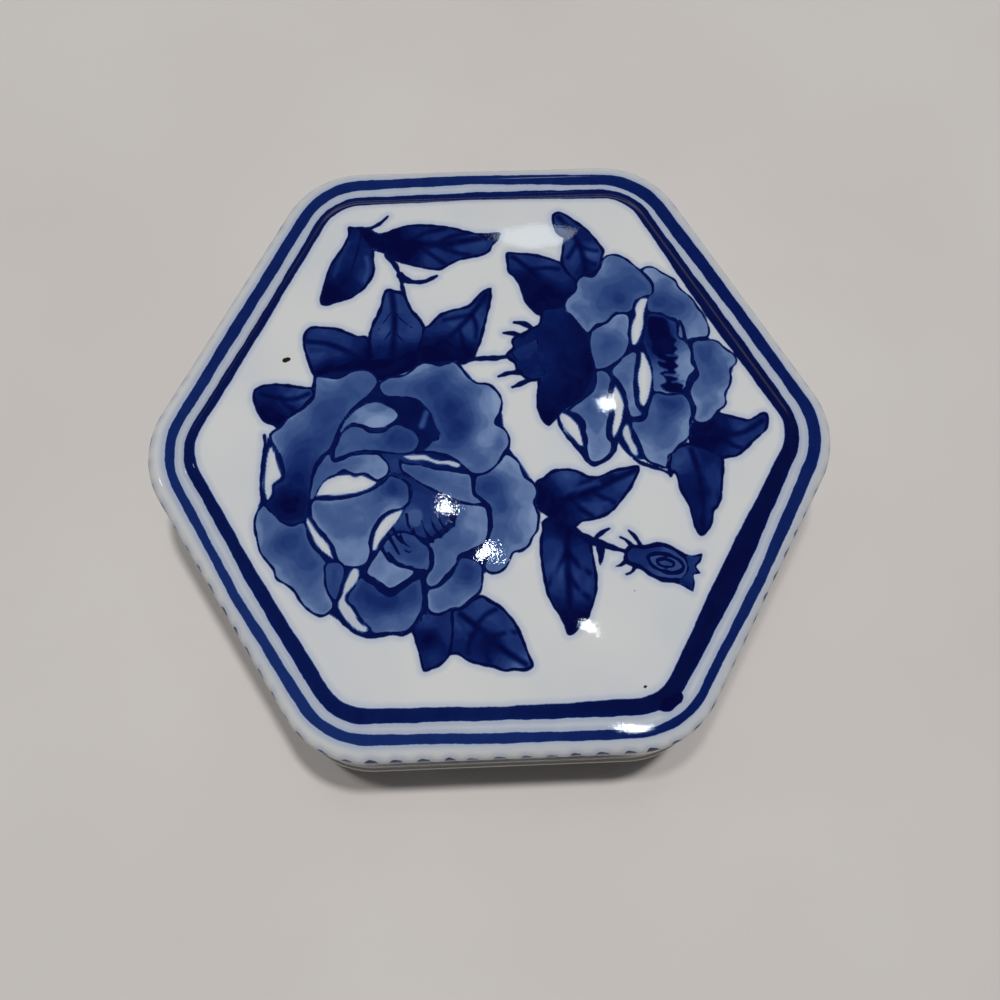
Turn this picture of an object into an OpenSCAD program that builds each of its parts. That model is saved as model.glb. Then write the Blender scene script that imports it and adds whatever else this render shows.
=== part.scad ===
// Hexagonal porcelain box for seal paste.
// A domed lid sits on a base with a raised inner lip, and a round cake of paste lies in the base's well.
// The flat sides face +Y and -Y, the corners lie on the X axis, and the box stands on Z = 0.

/* [Body] */
// Distance between two opposite flat sides
across_flats = 78; // [70:1:90]
// Radius of the six upright corners, on the outside
corner_r = 11.5; // [9:0.5:14]
// Rounding of the thin edges where lid and base meet
edge_r = 0.5; // [0.3:0.1:0.6]
// Least corner radius of the forms inside the outline
inner_corner_r = 5; // [3:0.5:6]

/* [Lid] */
// Height of the lid's side, from its rim to its shoulder
lid_side_h = 12.8; // [10:0.1:15]
// Thickness of the lid's side
lid_wall = 3.2; // [2.6:0.1:3.8]
// Thickness of the lid's top
lid_top_t = 3.4; // [2.8:0.1:4.2]
// Width of the rounding from the side to the shoulder
shoulder_round_w = 2.3; // [1.8:0.1:3]
// Height of the rounding from the side to the shoulder
shoulder_round_h = 1.9; // [1.5:0.1:2.6]
// Width of the shoulder that runs round the raised panel
shoulder_w = 2; // [1.5:0.1:3]
// How far the shoulder climbs towards the panel
shoulder_rise = 0.3; // [0:0.1:0.6]
// Width of the sloping step up to the panel
step_w = 1.8; // [1.2:0.1:2.6]
// Height of the sloping step up to the panel
step_h = 0.9; // [0.6:0.1:1.4]
// Height of the panel's crown above the step
crown_h = 2.1; // [1:0.1:3.5]
// Radius of the hollow corner inside the lid
lid_fillet_r = 3.5; // [2:0.5:5]

/* [Base] */
// Height of the base, from the table to the rim that the lid sits on
base_h = 15.5; // [13:0.5:22]
// How far the side draws in from the rim to the turn above the foot
side_taper = 1.4; // [0.6:0.1:2.4]
// Height of the rounded turn between side and foot
turn_h = 5.5; // [4:0.5:7]
// Height of the lip that rises inside the lid
lip_h = 3.2; // [2:0.1:4.5]
// Thickness of the lip
lip_t = 2.6; // [2:0.1:3.2]
// Gap between the lip and the inside of the lid
lip_gap = 0.5; // [0.3:0.1:0.8]
// Thickness of the floor under the well
floor_t = 3.4; // [2.6:0.1:4.5]
// Radius of the hollow corner round the well's floor
well_fillet_r = 4.5; // [3:0.5:6]
// Height of the foot ring
foot_h = 1.5; // [1:0.1:2.2]
// Width of the foot ring
foot_w = 2.6; // [2:0.1:3.5]
// How far the foot ring is set in from the outline
foot_inset = 5.6; // [4.5:0.1:7]

/* [Paste] */
// Gap between the cake of paste and the well's side
paste_gap = 4.2; // [3:0.1:8]
// Height of the paste at its edge, where it is widest
paste_edge_h = 3.4; // [2:0.1:4]
// Height of the paste at its middle
paste_h = 7.6; // [6:0.1:8.5]

/* [Fineness] */
// Facets round each upright corner
corner_steps = 6; // [4:1:8]
// Steps along each curve of a profile
curve_steps = 6; // [4:1:8]
// Facets round the cake of paste
round_facets = 96; // [48:8:128]

/* [Hidden] */
sides = 6;
half_side = 180 / sides;
// A ring this near to a circle still keeps its points apart
roundest = 0.97;
// Share of the panel's reach over which it turns from a circle into the outline
round_share = 0.3;
// A higher power keeps the crown flatter in the middle and steeper at its edge
crown_power = 2.8;
// Share of the paste's widest radius that rests on the floor
paste_rest_share = 0.93;
// Part of a quarter turn that shows between the base's side and its foot
turn_arc = 80;
outer_a = across_flats / 2;
rim_z = base_h;
// Lid
shoulder_a = outer_a - shoulder_round_w;
step_foot_a = shoulder_a - shoulder_w;
panel_a = step_foot_a - step_w;
shoulder_z = rim_z + lid_side_h;
step_foot_z = shoulder_z + shoulder_rise;
panel_z = step_foot_z + step_h;
panel_slope = -crown_h * crown_power / panel_a;
shoulder_slope = -shoulder_rise / shoulder_w;
// Angle on the rounding at which it takes up the shoulder's slope
shoulder_turn = 90 - atan(shoulder_rise / shoulder_w * shoulder_round_w / shoulder_round_h);
lid_in_a = outer_a - lid_wall;
ceiling_z = shoulder_z - lid_top_t;
ceiling_rise = step_h + crown_h;
// Base
lip_out_a = lid_in_a - lip_gap;
well_a = lip_out_a - lip_t;
lip_z = rim_z + lip_h;
foot_out_a = outer_a - foot_inset;
foot_in_a = foot_out_a - foot_w;
turn_a = outer_a - side_taper;
well_z = foot_h + floor_t;
// Paste
paste_r = well_a - paste_gap;

white = [0.90, 0.91, 0.90];
vermilion = [0.72, 0.07, 0.05];

// Corner radius of a ring that follows the outline at a distance, but never too sharp
function follow_r(a) = max(inner_corner_r, corner_r - (outer_a - a));

// One ring of points, as a hexagon of apothem a with corners of radius r
function hex_ring(a, r, z) = [
    for (k = [0 : sides - 1], i = [0 : corner_steps])
        let (
            corner = k * 2 * half_side,
            turn = corner - half_side + 2 * half_side * i / corner_steps,
            reach = (a - r) / cos(half_side)
        )
        [reach * cos(corner) + r * cos(turn), reach * sin(corner) + r * sin(turn), z]
];

// A profile point is [apothem, height, corner radius]
function at(a, z) = [a, z, min(follow_r(a), roundest * a)];

// Quarter of an ellipse from an angle to an angle, about a centre, as profile points
function curve(centre, w, h, from, to) = [
    for (i = [0 : curve_steps])
        let (t = from + (to - from) * i / curve_steps)
        at(centre[0] + w * cos(t), centre[1] + h * sin(t))
];

// Smooth S from one point to the next, which meets the slope of the face at either end
function ease(from, from_slope, to, to_slope) = [
    for (i = [1 : curve_steps - 1])
        let (
            t = i / curve_steps,
            w = to[0] - from[0],
            s = t * t * (3 - 2 * t),
            bend = w * (from_slope * t * (1 - t) * (1 - t) - to_slope * t * t * (1 - t))
        )
        at(from[0] + w * t, from[1] + (to[1] - from[1]) * s + bend)
];

// Corner radius on a crowned face, which turns into a circle towards the middle
function crown_r(a, edge_a) =
    let (
        t = max(0, (a / edge_a - round_share) / (1 - round_share)),
        s = t * t * (3 - 2 * t),
        edge_share = follow_r(edge_a) / edge_a
    )
    a * (roundest + (edge_share - roundest) * s);

// Crowned face from near the middle out to its edge, with the height of its edge and its rise
function crown(edge_a, edge_z, rise, power) = [
    for (i = [1 : curve_steps + 2])
        let (t = i / (curve_steps + 2), a = edge_a * t)
        [a, edge_z + rise * (1 - pow(t, power)), crown_r(a, edge_a)]
];

function reverse(list) = [for (i = [len(list) - 1 : -1 : 0]) list[i]];

// Closed solid from a profile that starts and ends in the middle, given clockwise from the top
module hex_turned(top_z, profile, bottom_z) {
    n = sides * (corner_steps + 1);
    m = len(profile);
    points = concat(
        [[0, 0, top_z]],
        [for (p = profile) each hex_ring(p[0], p[2], p[1])],
        [[0, 0, bottom_z]]
    );
    faces = concat(
        [for (i = [0 : n - 1]) [0, 1 + (i + 1) % n, 1 + i]],
        [for (j = [0 : m - 2], i = [0 : n - 1])
            let (a = 1 + j * n + i, b = 1 + j * n + (i + 1) % n)
            each [[a, b, b + n], [a, b + n, a + n]]],
        [for (i = [0 : n - 1]) [1 + n * m, 1 + (m - 1) * n + i, 1 + (m - 1) * n + (i + 1) % n]]
    );
    polyhedron(points = points, faces = faces, convexity = 6);
}

module lid() {
    outside = concat(
        crown(panel_a, panel_z, crown_h, crown_power),
        ease([panel_a, panel_z], panel_slope, [step_foot_a, step_foot_z], shoulder_slope),
        [at(step_foot_a, step_foot_z)],
        curve([shoulder_a, shoulder_z - shoulder_round_h], shoulder_round_w, shoulder_round_h, shoulder_turn, 0)
    );
    rim = concat(
        curve([outer_a - edge_r, rim_z + edge_r], edge_r, edge_r, 0, -90),
        [at(lid_in_a + edge_r, rim_z)],
        [at(lid_in_a, rim_z + edge_r)]
    );
    inside = concat(
        curve([lid_in_a - lid_fillet_r, ceiling_z - lid_fillet_r], lid_fillet_r, lid_fillet_r, 0, 90),
        reverse(crown(lid_in_a - lid_fillet_r - edge_r, ceiling_z, ceiling_rise, 2))
    );
    color(white)
        hex_turned(panel_z + crown_h, concat(outside, rim, inside), ceiling_z + ceiling_rise);
}

module base() {
    well = curve([well_a - well_fillet_r, well_z + well_fillet_r], well_fillet_r, well_fillet_r, -90, 0);
    lip = concat(
        curve([well_a + lip_t / 2, lip_z - lip_t / 2], lip_t / 2, lip_t / 2, 180, 0),
        [at(lip_out_a, rim_z)]
    );
    outside = concat(
        curve([outer_a - edge_r, rim_z - edge_r], edge_r, edge_r, 90, 0),
        curve([foot_out_a, foot_h + turn_h], turn_a - foot_out_a, turn_h, 0, -turn_arc)
    );
    foot = [
        at(foot_out_a, foot_h / 2),
        at(foot_out_a - edge_r / 2, 0),
        at(foot_in_a + edge_r / 2, 0),
        at(foot_in_a, foot_h / 2),
        at(foot_in_a - edge_r, foot_h)
    ];
    color(white)
        hex_turned(well_z, concat(well, lip, outside, foot), foot_h);
}

// A soft round cake, widest a little above the floor that it lies on
module seal_paste() {
    rest_r = paste_r * paste_rest_share;
    side = [
        for (i = [0 : curve_steps])
            let (t = 90 * (i / curve_steps - 1))
            [rest_r + (paste_r - rest_r) * cos(t), paste_edge_h * (1 + sin(t))]
    ];
    top = [
        for (i = [1 : 2 * curve_steps])
            let (t = 90 * i / (2 * curve_steps))
            [paste_r * cos(t), paste_edge_h + (paste_h - paste_edge_h) * sin(t)]
    ];
    color(vermilion)
        translate([0, 0, well_z])
            rotate_extrude($fn = round_facets)
                polygon(concat([[0, 0]], side, top));
}

base();
lid();
seal_paste();
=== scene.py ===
"""A hexagonal porcelain box for seal paste, painted in cobalt blue under a clear glaze.

The domed lid sits on a base with a raised lip, and a cake of vermilion paste lies in the base's well.
Sizes are in millimetres and repeat those of the solids; meshes are made in metres.
The painting is drawn brush mark by brush mark on the surfaces. Each point of a mesh keeps five numbers
of it: the wash's tone, the gap to the nearest line, that line's ink, the gap to the nearest speck, and
how bare of glaze the point is.
"""
from __future__ import annotations

import logging
import math
from collections.abc import Callable
from dataclasses import dataclass, replace
from enum import Enum

import bpy
import numpy as np
from mathutils import Matrix, Vector, noise


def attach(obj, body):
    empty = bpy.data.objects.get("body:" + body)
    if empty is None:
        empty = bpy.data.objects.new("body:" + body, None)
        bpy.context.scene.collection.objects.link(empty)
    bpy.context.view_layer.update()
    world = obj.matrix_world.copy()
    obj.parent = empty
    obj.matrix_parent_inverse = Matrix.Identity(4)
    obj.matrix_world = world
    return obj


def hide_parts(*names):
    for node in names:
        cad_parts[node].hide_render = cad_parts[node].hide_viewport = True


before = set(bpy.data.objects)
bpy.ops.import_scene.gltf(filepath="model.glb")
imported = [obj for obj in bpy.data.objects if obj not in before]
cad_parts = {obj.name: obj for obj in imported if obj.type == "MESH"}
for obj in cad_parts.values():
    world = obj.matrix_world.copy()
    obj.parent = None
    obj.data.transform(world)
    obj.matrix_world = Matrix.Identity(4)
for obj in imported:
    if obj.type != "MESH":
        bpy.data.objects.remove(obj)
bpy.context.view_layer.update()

MM = 0.001
# Gap that is written where no brush line is near, in mm
FAR = 2.0
# Length in mm that counts as none
TINY = 1e-9
# Keeps a normal without length from being divided by nothing
FLAT = 1e-12
SIDES = 6
# Half of the angle that a side of the hexagon takes up
HALF_SIDE = math.pi / SIDES
LOG = logging.getLogger("seal_paste_box")

Array = np.ndarray
Numbers = tuple[float, ...]
Material = bpy.types.Material
Object = bpy.types.Object
Socket = bpy.types.NodeSocket
# Apothem and height of a point of a profile, or width and height
Pair = tuple[float, float]
# Apothem, height and corner radius
Ring = tuple[float, float, float]
# Place x and y, and the tone or the radius there
Dot = tuple[float, float, float]
# Low edge, high edge and tone of a line that runs round the box
Band = tuple[float, float, float]
# x, y, z in metres, or red, green and blue of light
Triple = tuple[float, float, float]
# Red, green and blue as seen, 0 to 255
Tint = tuple[int, int, int]


def shade(red: int, green: int, blue: int) -> tuple[float, float, float, float]:
    """Turn a colour as it is seen, 0 to 255, into the linear colour that a shader takes.

    Args:
        red: Red, from 0 to 255.
        green: Green, from 0 to 255.
        blue: Blue, from 0 to 255.

    Returns:
        The linear colour with an alpha of 1.
    """
    linear = []
    for part in (red, green, blue):
        v = part / 255
        linear.append(v / 12.92 if v <= 0.04045 else ((v + 0.055) / 1.055) ** 2.4)
    return (linear[0], linear[1], linear[2], 1.0)


def smooth(t: Array | float) -> Array | float:
    """Smooth rise from 0 to 1, level at both ends."""
    return t * t * (3 - 2 * t)


def soft_step(value: Array, low: float, high: float) -> Array:
    """Rise smoothly from 0 at low to 1 at high; low above high makes it fall."""
    return smooth(np.clip((value - low) / (high - low), 0, 1))


def unit(vectors: Array) -> Array:
    """The vectors, scaled to a length of 1."""
    return vectors / (np.linalg.norm(vectors, axis=-1, keepdims=True) + FLAT)


# Sizes and rings

@dataclass(frozen=True)
class Outline:
    """The rounded hexagon that every ring of the box follows, with its corners on the X axis."""

    apothem: float = 39.0
    corner_r: float = 11.5
    inner_corner_r: float = 5.0
    roundest: float = 0.97
    round_share: float = 0.3

    def follow(self, a: float) -> float:
        """Corner radius of a ring that follows the outline at a distance."""
        return max(self.inner_corner_r, self.corner_r - (self.apothem - a))

    def at(self, a: float, z: float) -> Ring:
        """Ring of apothem a at height z."""
        return (a, z, min(self.follow(a), self.roundest * a))

    def curve(self, centre: Pair, size: Pair, turn: Pair, steps: int) -> list[Ring]:
        """Rings along part of an ellipse.

        Args:
            centre: Apothem and height of the ellipse's centre.
            size: Its half width and half height.
            turn: Angle that it starts at and angle that it ends at, in degrees.
            steps: Number of steps.

        Returns:
            The rings, both ends among them.
        """
        (a, z), (wide, high) = centre, size
        angles = np.radians(np.linspace(turn[0], turn[1], steps + 1))
        return [self.at(a + wide * math.cos(t), z + high * math.sin(t)) for t in angles]

    def run(self, start: Pair, end: Pair, steps: int) -> list[Ring]:
        """Rings between two points of a profile, the end points left out.

        Args:
            start: Apothem and height where it starts.
            end: Apothem and height where it ends.
            steps: Number of steps.

        Returns:
            The rings between the two.
        """
        (a, z), (end_a, end_z) = start, end
        shares = np.linspace(0, 1, steps + 1)[1:-1]
        return [self.at(a + (end_a - a) * t, z + (end_z - z) * t) for t in shares]

    def ease(self, start: Pair, start_slope: float, end: Pair, end_slope: float, steps: int) -> list[Ring]:
        """Rings along a smooth S that meets the slope of the face at either end.

        Args:
            start: Apothem and height where it starts.
            start_slope: Slope of the face before it.
            end: Apothem and height where it ends.
            end_slope: Slope of the face after it.
            steps: Number of steps.

        Returns:
            The rings, both ends among them.
        """
        (a, z), (end_a, end_z) = start, end
        width = end_a - a
        rings = []
        for t in np.linspace(0, 1, steps + 1):
            bend = width * (start_slope * t * (1 - t) ** 2 - end_slope * t * t * (1 - t))
            rings.append(self.at(a + width * t, z + (end_z - z) * smooth(t) + bend))
        return rings

    def crown(self, a: float, edge: Pair, rise: float, power: float) -> Ring:
        """Ring of a crowned face, which turns into a circle towards the middle.

        Args:
            a: Apothem of the ring.
            edge: Apothem and height of the face's edge.
            rise: Height of its middle above the edge.
            power: How flat it is in the middle.

        Returns:
            The ring.
        """
        t = min(1.0, max(0.0, (a / edge[0] - self.round_share) / (1 - self.round_share)))
        edge_share = self.follow(edge[0]) / edge[0]
        radius = a * (self.roundest + (edge_share - self.roundest) * smooth(t))
        return (a, edge[1] + rise * (1 - (a / edge[0]) ** power), radius)

    def length(self, a: float, r: float) -> float:
        """Length once round the ring of apothem a with corners of radius r."""
        return 2 * SIDES * (a - r) * math.tan(HALF_SIDE) + 2 * math.pi * r

    def place(self, ring: Ring, share: Array) -> Array:
        """Points on a ring at shares of its length, from the corner on +X and counter-clockwise.

        Args:
            ring: Apothem, height and corner radius.
            share: Shares from 0 to 1.

        Returns:
            The points, one row each.
        """
        a, z, r = ring
        side = self.length(a, r) / SIDES
        k = np.floor(share * SIDES + 0.5)
        along = (share * SIDES - k) * side
        corner = k * math.pi / 3
        over = np.maximum(0, np.abs(along) - r * HALF_SIDE)
        turn = corner + np.sign(along) * np.minimum(np.abs(along) / r, HALF_SIDE)
        reach = (a - r) / math.cos(HALF_SIDE)
        step = over * np.sign(along)
        x = reach * np.cos(corner) + r * np.cos(turn) - step * np.sin(turn)
        y = reach * np.sin(corner) + r * np.sin(turn) + step * np.cos(turn)
        return np.column_stack([x, y, np.full_like(x, z)])


@dataclass
class Skin:
    """A surface swept through rings, with the normals that its pieces share along their seams."""

    rings: list[Ring]
    points: Array
    normals: Array

    @classmethod
    def sweep(cls, outline: Outline, rings: list[Ring], around: int) -> Skin:
        """Sweep a surface through rings.

        Args:
            outline: The hexagon that the rings follow.
            rings: The rings, clockwise round the profile, so that the normals point out of the porcelain.
            around: Points round each ring.

        Returns:
            The surface.
        """
        share = np.arange(around) / around
        points = np.stack([outline.place(ring, share) for ring in rings])
        first, middle, last = points[1:2] - points[:1], points[2:] - points[:-2], points[-1:] - points[-2:-1]
        across = np.roll(points, -1, axis=1) - np.roll(points, 1, axis=1)
        normals = unit(np.cross(np.concatenate([first, middle, last]), across))
        return cls(rings, points, normals)

    @property
    def where(self) -> Array:
        """The points, one row each."""
        return self.points.reshape(-1, 3)

    @property
    def share(self) -> Array:
        """Share of the way round of each point."""
        rows, around = self.points.shape[:2]
        return np.tile(np.arange(around) / around, rows)

    def cut(self, first: int, last: int) -> Skin:
        """The part of the surface from one ring to another, both kept."""
        return Skin(self.rings[first:last + 1], self.points[first:last + 1], self.normals[first:last + 1])

    def faces(self) -> Array:
        """Corners of the faces between neighbouring rings, one row each."""
        rows, around = self.points.shape[:2]
        r, c = np.meshgrid(np.arange(rows - 1), np.arange(around), indexing="ij")
        n = (c + 1) % around
        quads = [r * around + c, (r + 1) * around + c, (r + 1) * around + n, r * around + n]
        return np.stack(quads, axis=2).reshape(-1, 4)

    def depth(self) -> Array:
        """Distance along the profile to each ring, from 0 to 1."""
        steps = np.linalg.norm(np.diff(self.points[:, 0], axis=0), axis=1)
        total = np.concatenate([[0.0], np.cumsum(steps)])
        return total / total[-1]

    def strip_chart(self) -> Array:
        """Unroll the surface onto the unit square, its six sides stacked.

        Returns:
            The place of each face's corners, face by face.
        """
        # Left free above and below each strip, and at its two ends
        margin, seam = 0.03, 0.005
        rows, around = self.points.shape[:2]
        per = around // SIDES
        depth = self.depth() * (1 - 2 * margin) + margin
        r, c = np.meshgrid(np.arange(rows - 1), np.arange(around), indexing="ij")
        left = seam + (1 - 2 * seam) * (c % per) / per
        right = seam + (1 - 2 * seam) * (c % per + 1) / per
        side = c // per
        top = (side + depth[r]) / SIDES
        low = (side + depth[r + 1]) / SIDES
        corners = [(left, top), (left, low), (right, low), (right, top)]
        return np.stack([np.stack(p, axis=2) for p in corners], axis=2).reshape(-1, 4, 2)

    def disc_chart(self, from_middle: bool) -> Array:
        """Spread the surface flat as a disc, each ring at its distance along the profile.

        Args:
            from_middle: Whether the first ring is the one in the middle.

        Returns:
            The place of each point.
        """
        # Radius of the first ring, and how much larger the last one is
        smallest, spread = 0.01, 0.48
        around = self.points.shape[1]
        depth = self.depth() if from_middle else 1 - self.depth()
        reach = smallest + spread * depth
        turn = 2 * math.pi * np.arange(around) / around
        x = 0.5 + reach[:, None] * np.cos(turn)
        y = 0.5 + reach[:, None] * np.sin(turn)
        return np.stack([x, y], axis=2).reshape(-1, 2)

    def strip_piece(self, name: str) -> Object:
        """Make a piece of a surface that goes round the box, open at both ends."""
        normals = self.normals.reshape(-1, 3)
        return make_piece(name, self.where, self.faces().tolist(), normals, self.strip_chart())


def add_object(name: str, data: bpy.types.ID) -> Object:
    """Make an object of some data and put it in the scene."""
    made = bpy.data.objects.new(name, data)
    bpy.context.collection.objects.link(made)
    return made


def make_piece(name: str, points: Array, faces: list, normals: Array, chart: Array) -> Object:
    """Make one piece from its points and faces.

    Args:
        name: The piece's name.
        points: Its points, in mm.
        faces: The corners of each face.
        normals: The normal at each point.
        chart: The place on the unit square of each point, or of each face's corners in turn.

    Returns:
        The new object.
    """
    mesh = bpy.data.meshes.new(name)
    mesh.from_pydata((points * MM).tolist(), [], faces)
    mesh.shade_smooth()
    corners = np.empty(len(mesh.loops), dtype=np.int32)
    mesh.loops.foreach_get("vertex_index", corners)
    flat = chart[corners] if len(chart) == len(points) else chart
    layer = mesh.uv_layers.new(name="OFBake")
    layer.data.foreach_set("uv", np.ascontiguousarray(flat, dtype=np.float32).ravel())
    mesh.normals_split_custom_set_from_vertices(normals.tolist())
    mesh.update()
    return add_object(name, mesh)


def point_normals(points: Array, face_lists: tuple[Array, ...]) -> Array:
    """Normals at points, each the mean over the faces that meet there, large faces counting more.

    Args:
        points: The points.
        face_lists: The corners of the faces, one array for each number of corners.

    Returns:
        The normals, one row each.
    """
    normals = np.zeros_like(points)
    for faces in face_lists:
        first, second, third = (points[faces[:, i]] for i in range(3))
        across = np.cross(second - first, third - first)
        for i in range(faces.shape[1]):
            np.add.at(normals, faces[:, i], across)
    return unit(normals)


def note(piece: Object, name: str, values: Array) -> None:
    """Write one number at each point of a piece, for its material to read."""
    layer = piece.data.attributes.new(name=name, type="FLOAT", domain="POINT")
    layer.data.foreach_set("value", np.ascontiguousarray(values, dtype=np.float32).ravel())


# Brush marks

@dataclass(frozen=True)
class Fill:
    """A patch of wash inside a closed outline, which hides what was painted before it.

    The outline is x, y, x, y and so on. Each of the shades is a place and the tone that the wash has there.
    Line is the width of the line along the outline, and ink is that line's tone. Edge is how much darker
    the rim is than the rest. Tones run from 0, bare white, to 1, almost black.
    """

    tone: float
    outline: Numbers
    shades: tuple[Dot, ...] = ()
    line: float = 0.0
    ink: float = 0.93
    edge: float = 0.0

    def tones(self, x: Array, y: Array) -> Array:
        """Tone of the wash at some places, before its edge darkens or lightens it.

        Args:
            x: Their x, in mm.
            y: Their y, in mm.

        Returns:
            The tones.
        """
        # Mm from a shade at which the patch's own tone weighs as much, and how a shade weakens with distance
        reach, core, fall = 3.2, 0.5, 1.5
        weight = np.full_like(x, 1 / (reach ** 2 + core) ** fall)
        total = weight * self.tone
        for sx, sy, tone in self.shades:
            near = 1 / ((x - sx) ** 2 + (y - sy) ** 2 + core) ** fall
            weight = weight + near
            total = total + near * tone
        return total / weight


@dataclass(frozen=True)
class Line:
    """A crisp brush line along x, y, x, y, with its width at the start and at the tip."""

    width: float
    tip: float
    path: Numbers
    ink: float = 0.93

    def moved(self, shift: float) -> Line:
        """The same line further along x."""
        return replace(self, path=tuple(v + shift if i % 2 == 0 else v for i, v in enumerate(self.path)))


@dataclass(frozen=True)
class Streak:
    """A soft stroke of lighter or darker wash along x, y, x, y."""

    width: float
    path: Numbers
    tone: float = 0.98
    feather: float = 0.35


Mark = Fill | Line | Streak


def smooth_path(values: Numbers, closed: bool) -> Array:
    """Draw a smooth path through points, which keeps sharp corners sharp.

    Args:
        values: The points as x, y, x, y and so on.
        closed: Whether the path returns to its start.

    Returns:
        The points of the path, one row each.
    """
    # Points per stretch, and the bends between which a corner turns from sharp to smooth
    steps, sharp, rounding = 4, 0.3, 0.7
    points = np.array(values, dtype=float).reshape(-1, 2)
    if closed:
        before, after = np.roll(points, 1, axis=0), np.roll(points, -1, axis=0)
    else:
        before = np.vstack([points[:1], points[:-1]])
        after = np.vstack([points[1:], points[-1:]])
    come, go = points - before, after - points
    come_length = np.linalg.norm(come, axis=1) + TINY
    go_length = np.linalg.norm(go, axis=1) + TINY
    bend = np.sum(come * go, axis=1) / (come_length * go_length)
    chord = after - before
    chord /= np.linalg.norm(chord, axis=1, keepdims=True) + TINY
    chord *= np.clip((bend + sharp) / rounding, 0, 1)[:, None]
    count = len(points) if closed else len(points) - 1
    path = []
    for i in range(count):
        j = (i + 1) % len(points)
        for t in np.arange(steps) / steps:
            pull = chord[i] * t * (1 - t) ** 2 - chord[j] * t * t * (1 - t)
            path.append(points[i] + (points[j] - points[i]) * smooth(t) + pull * go_length[i])
    path.append(points[0] if closed else points[-1])
    return np.array(path)


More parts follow.
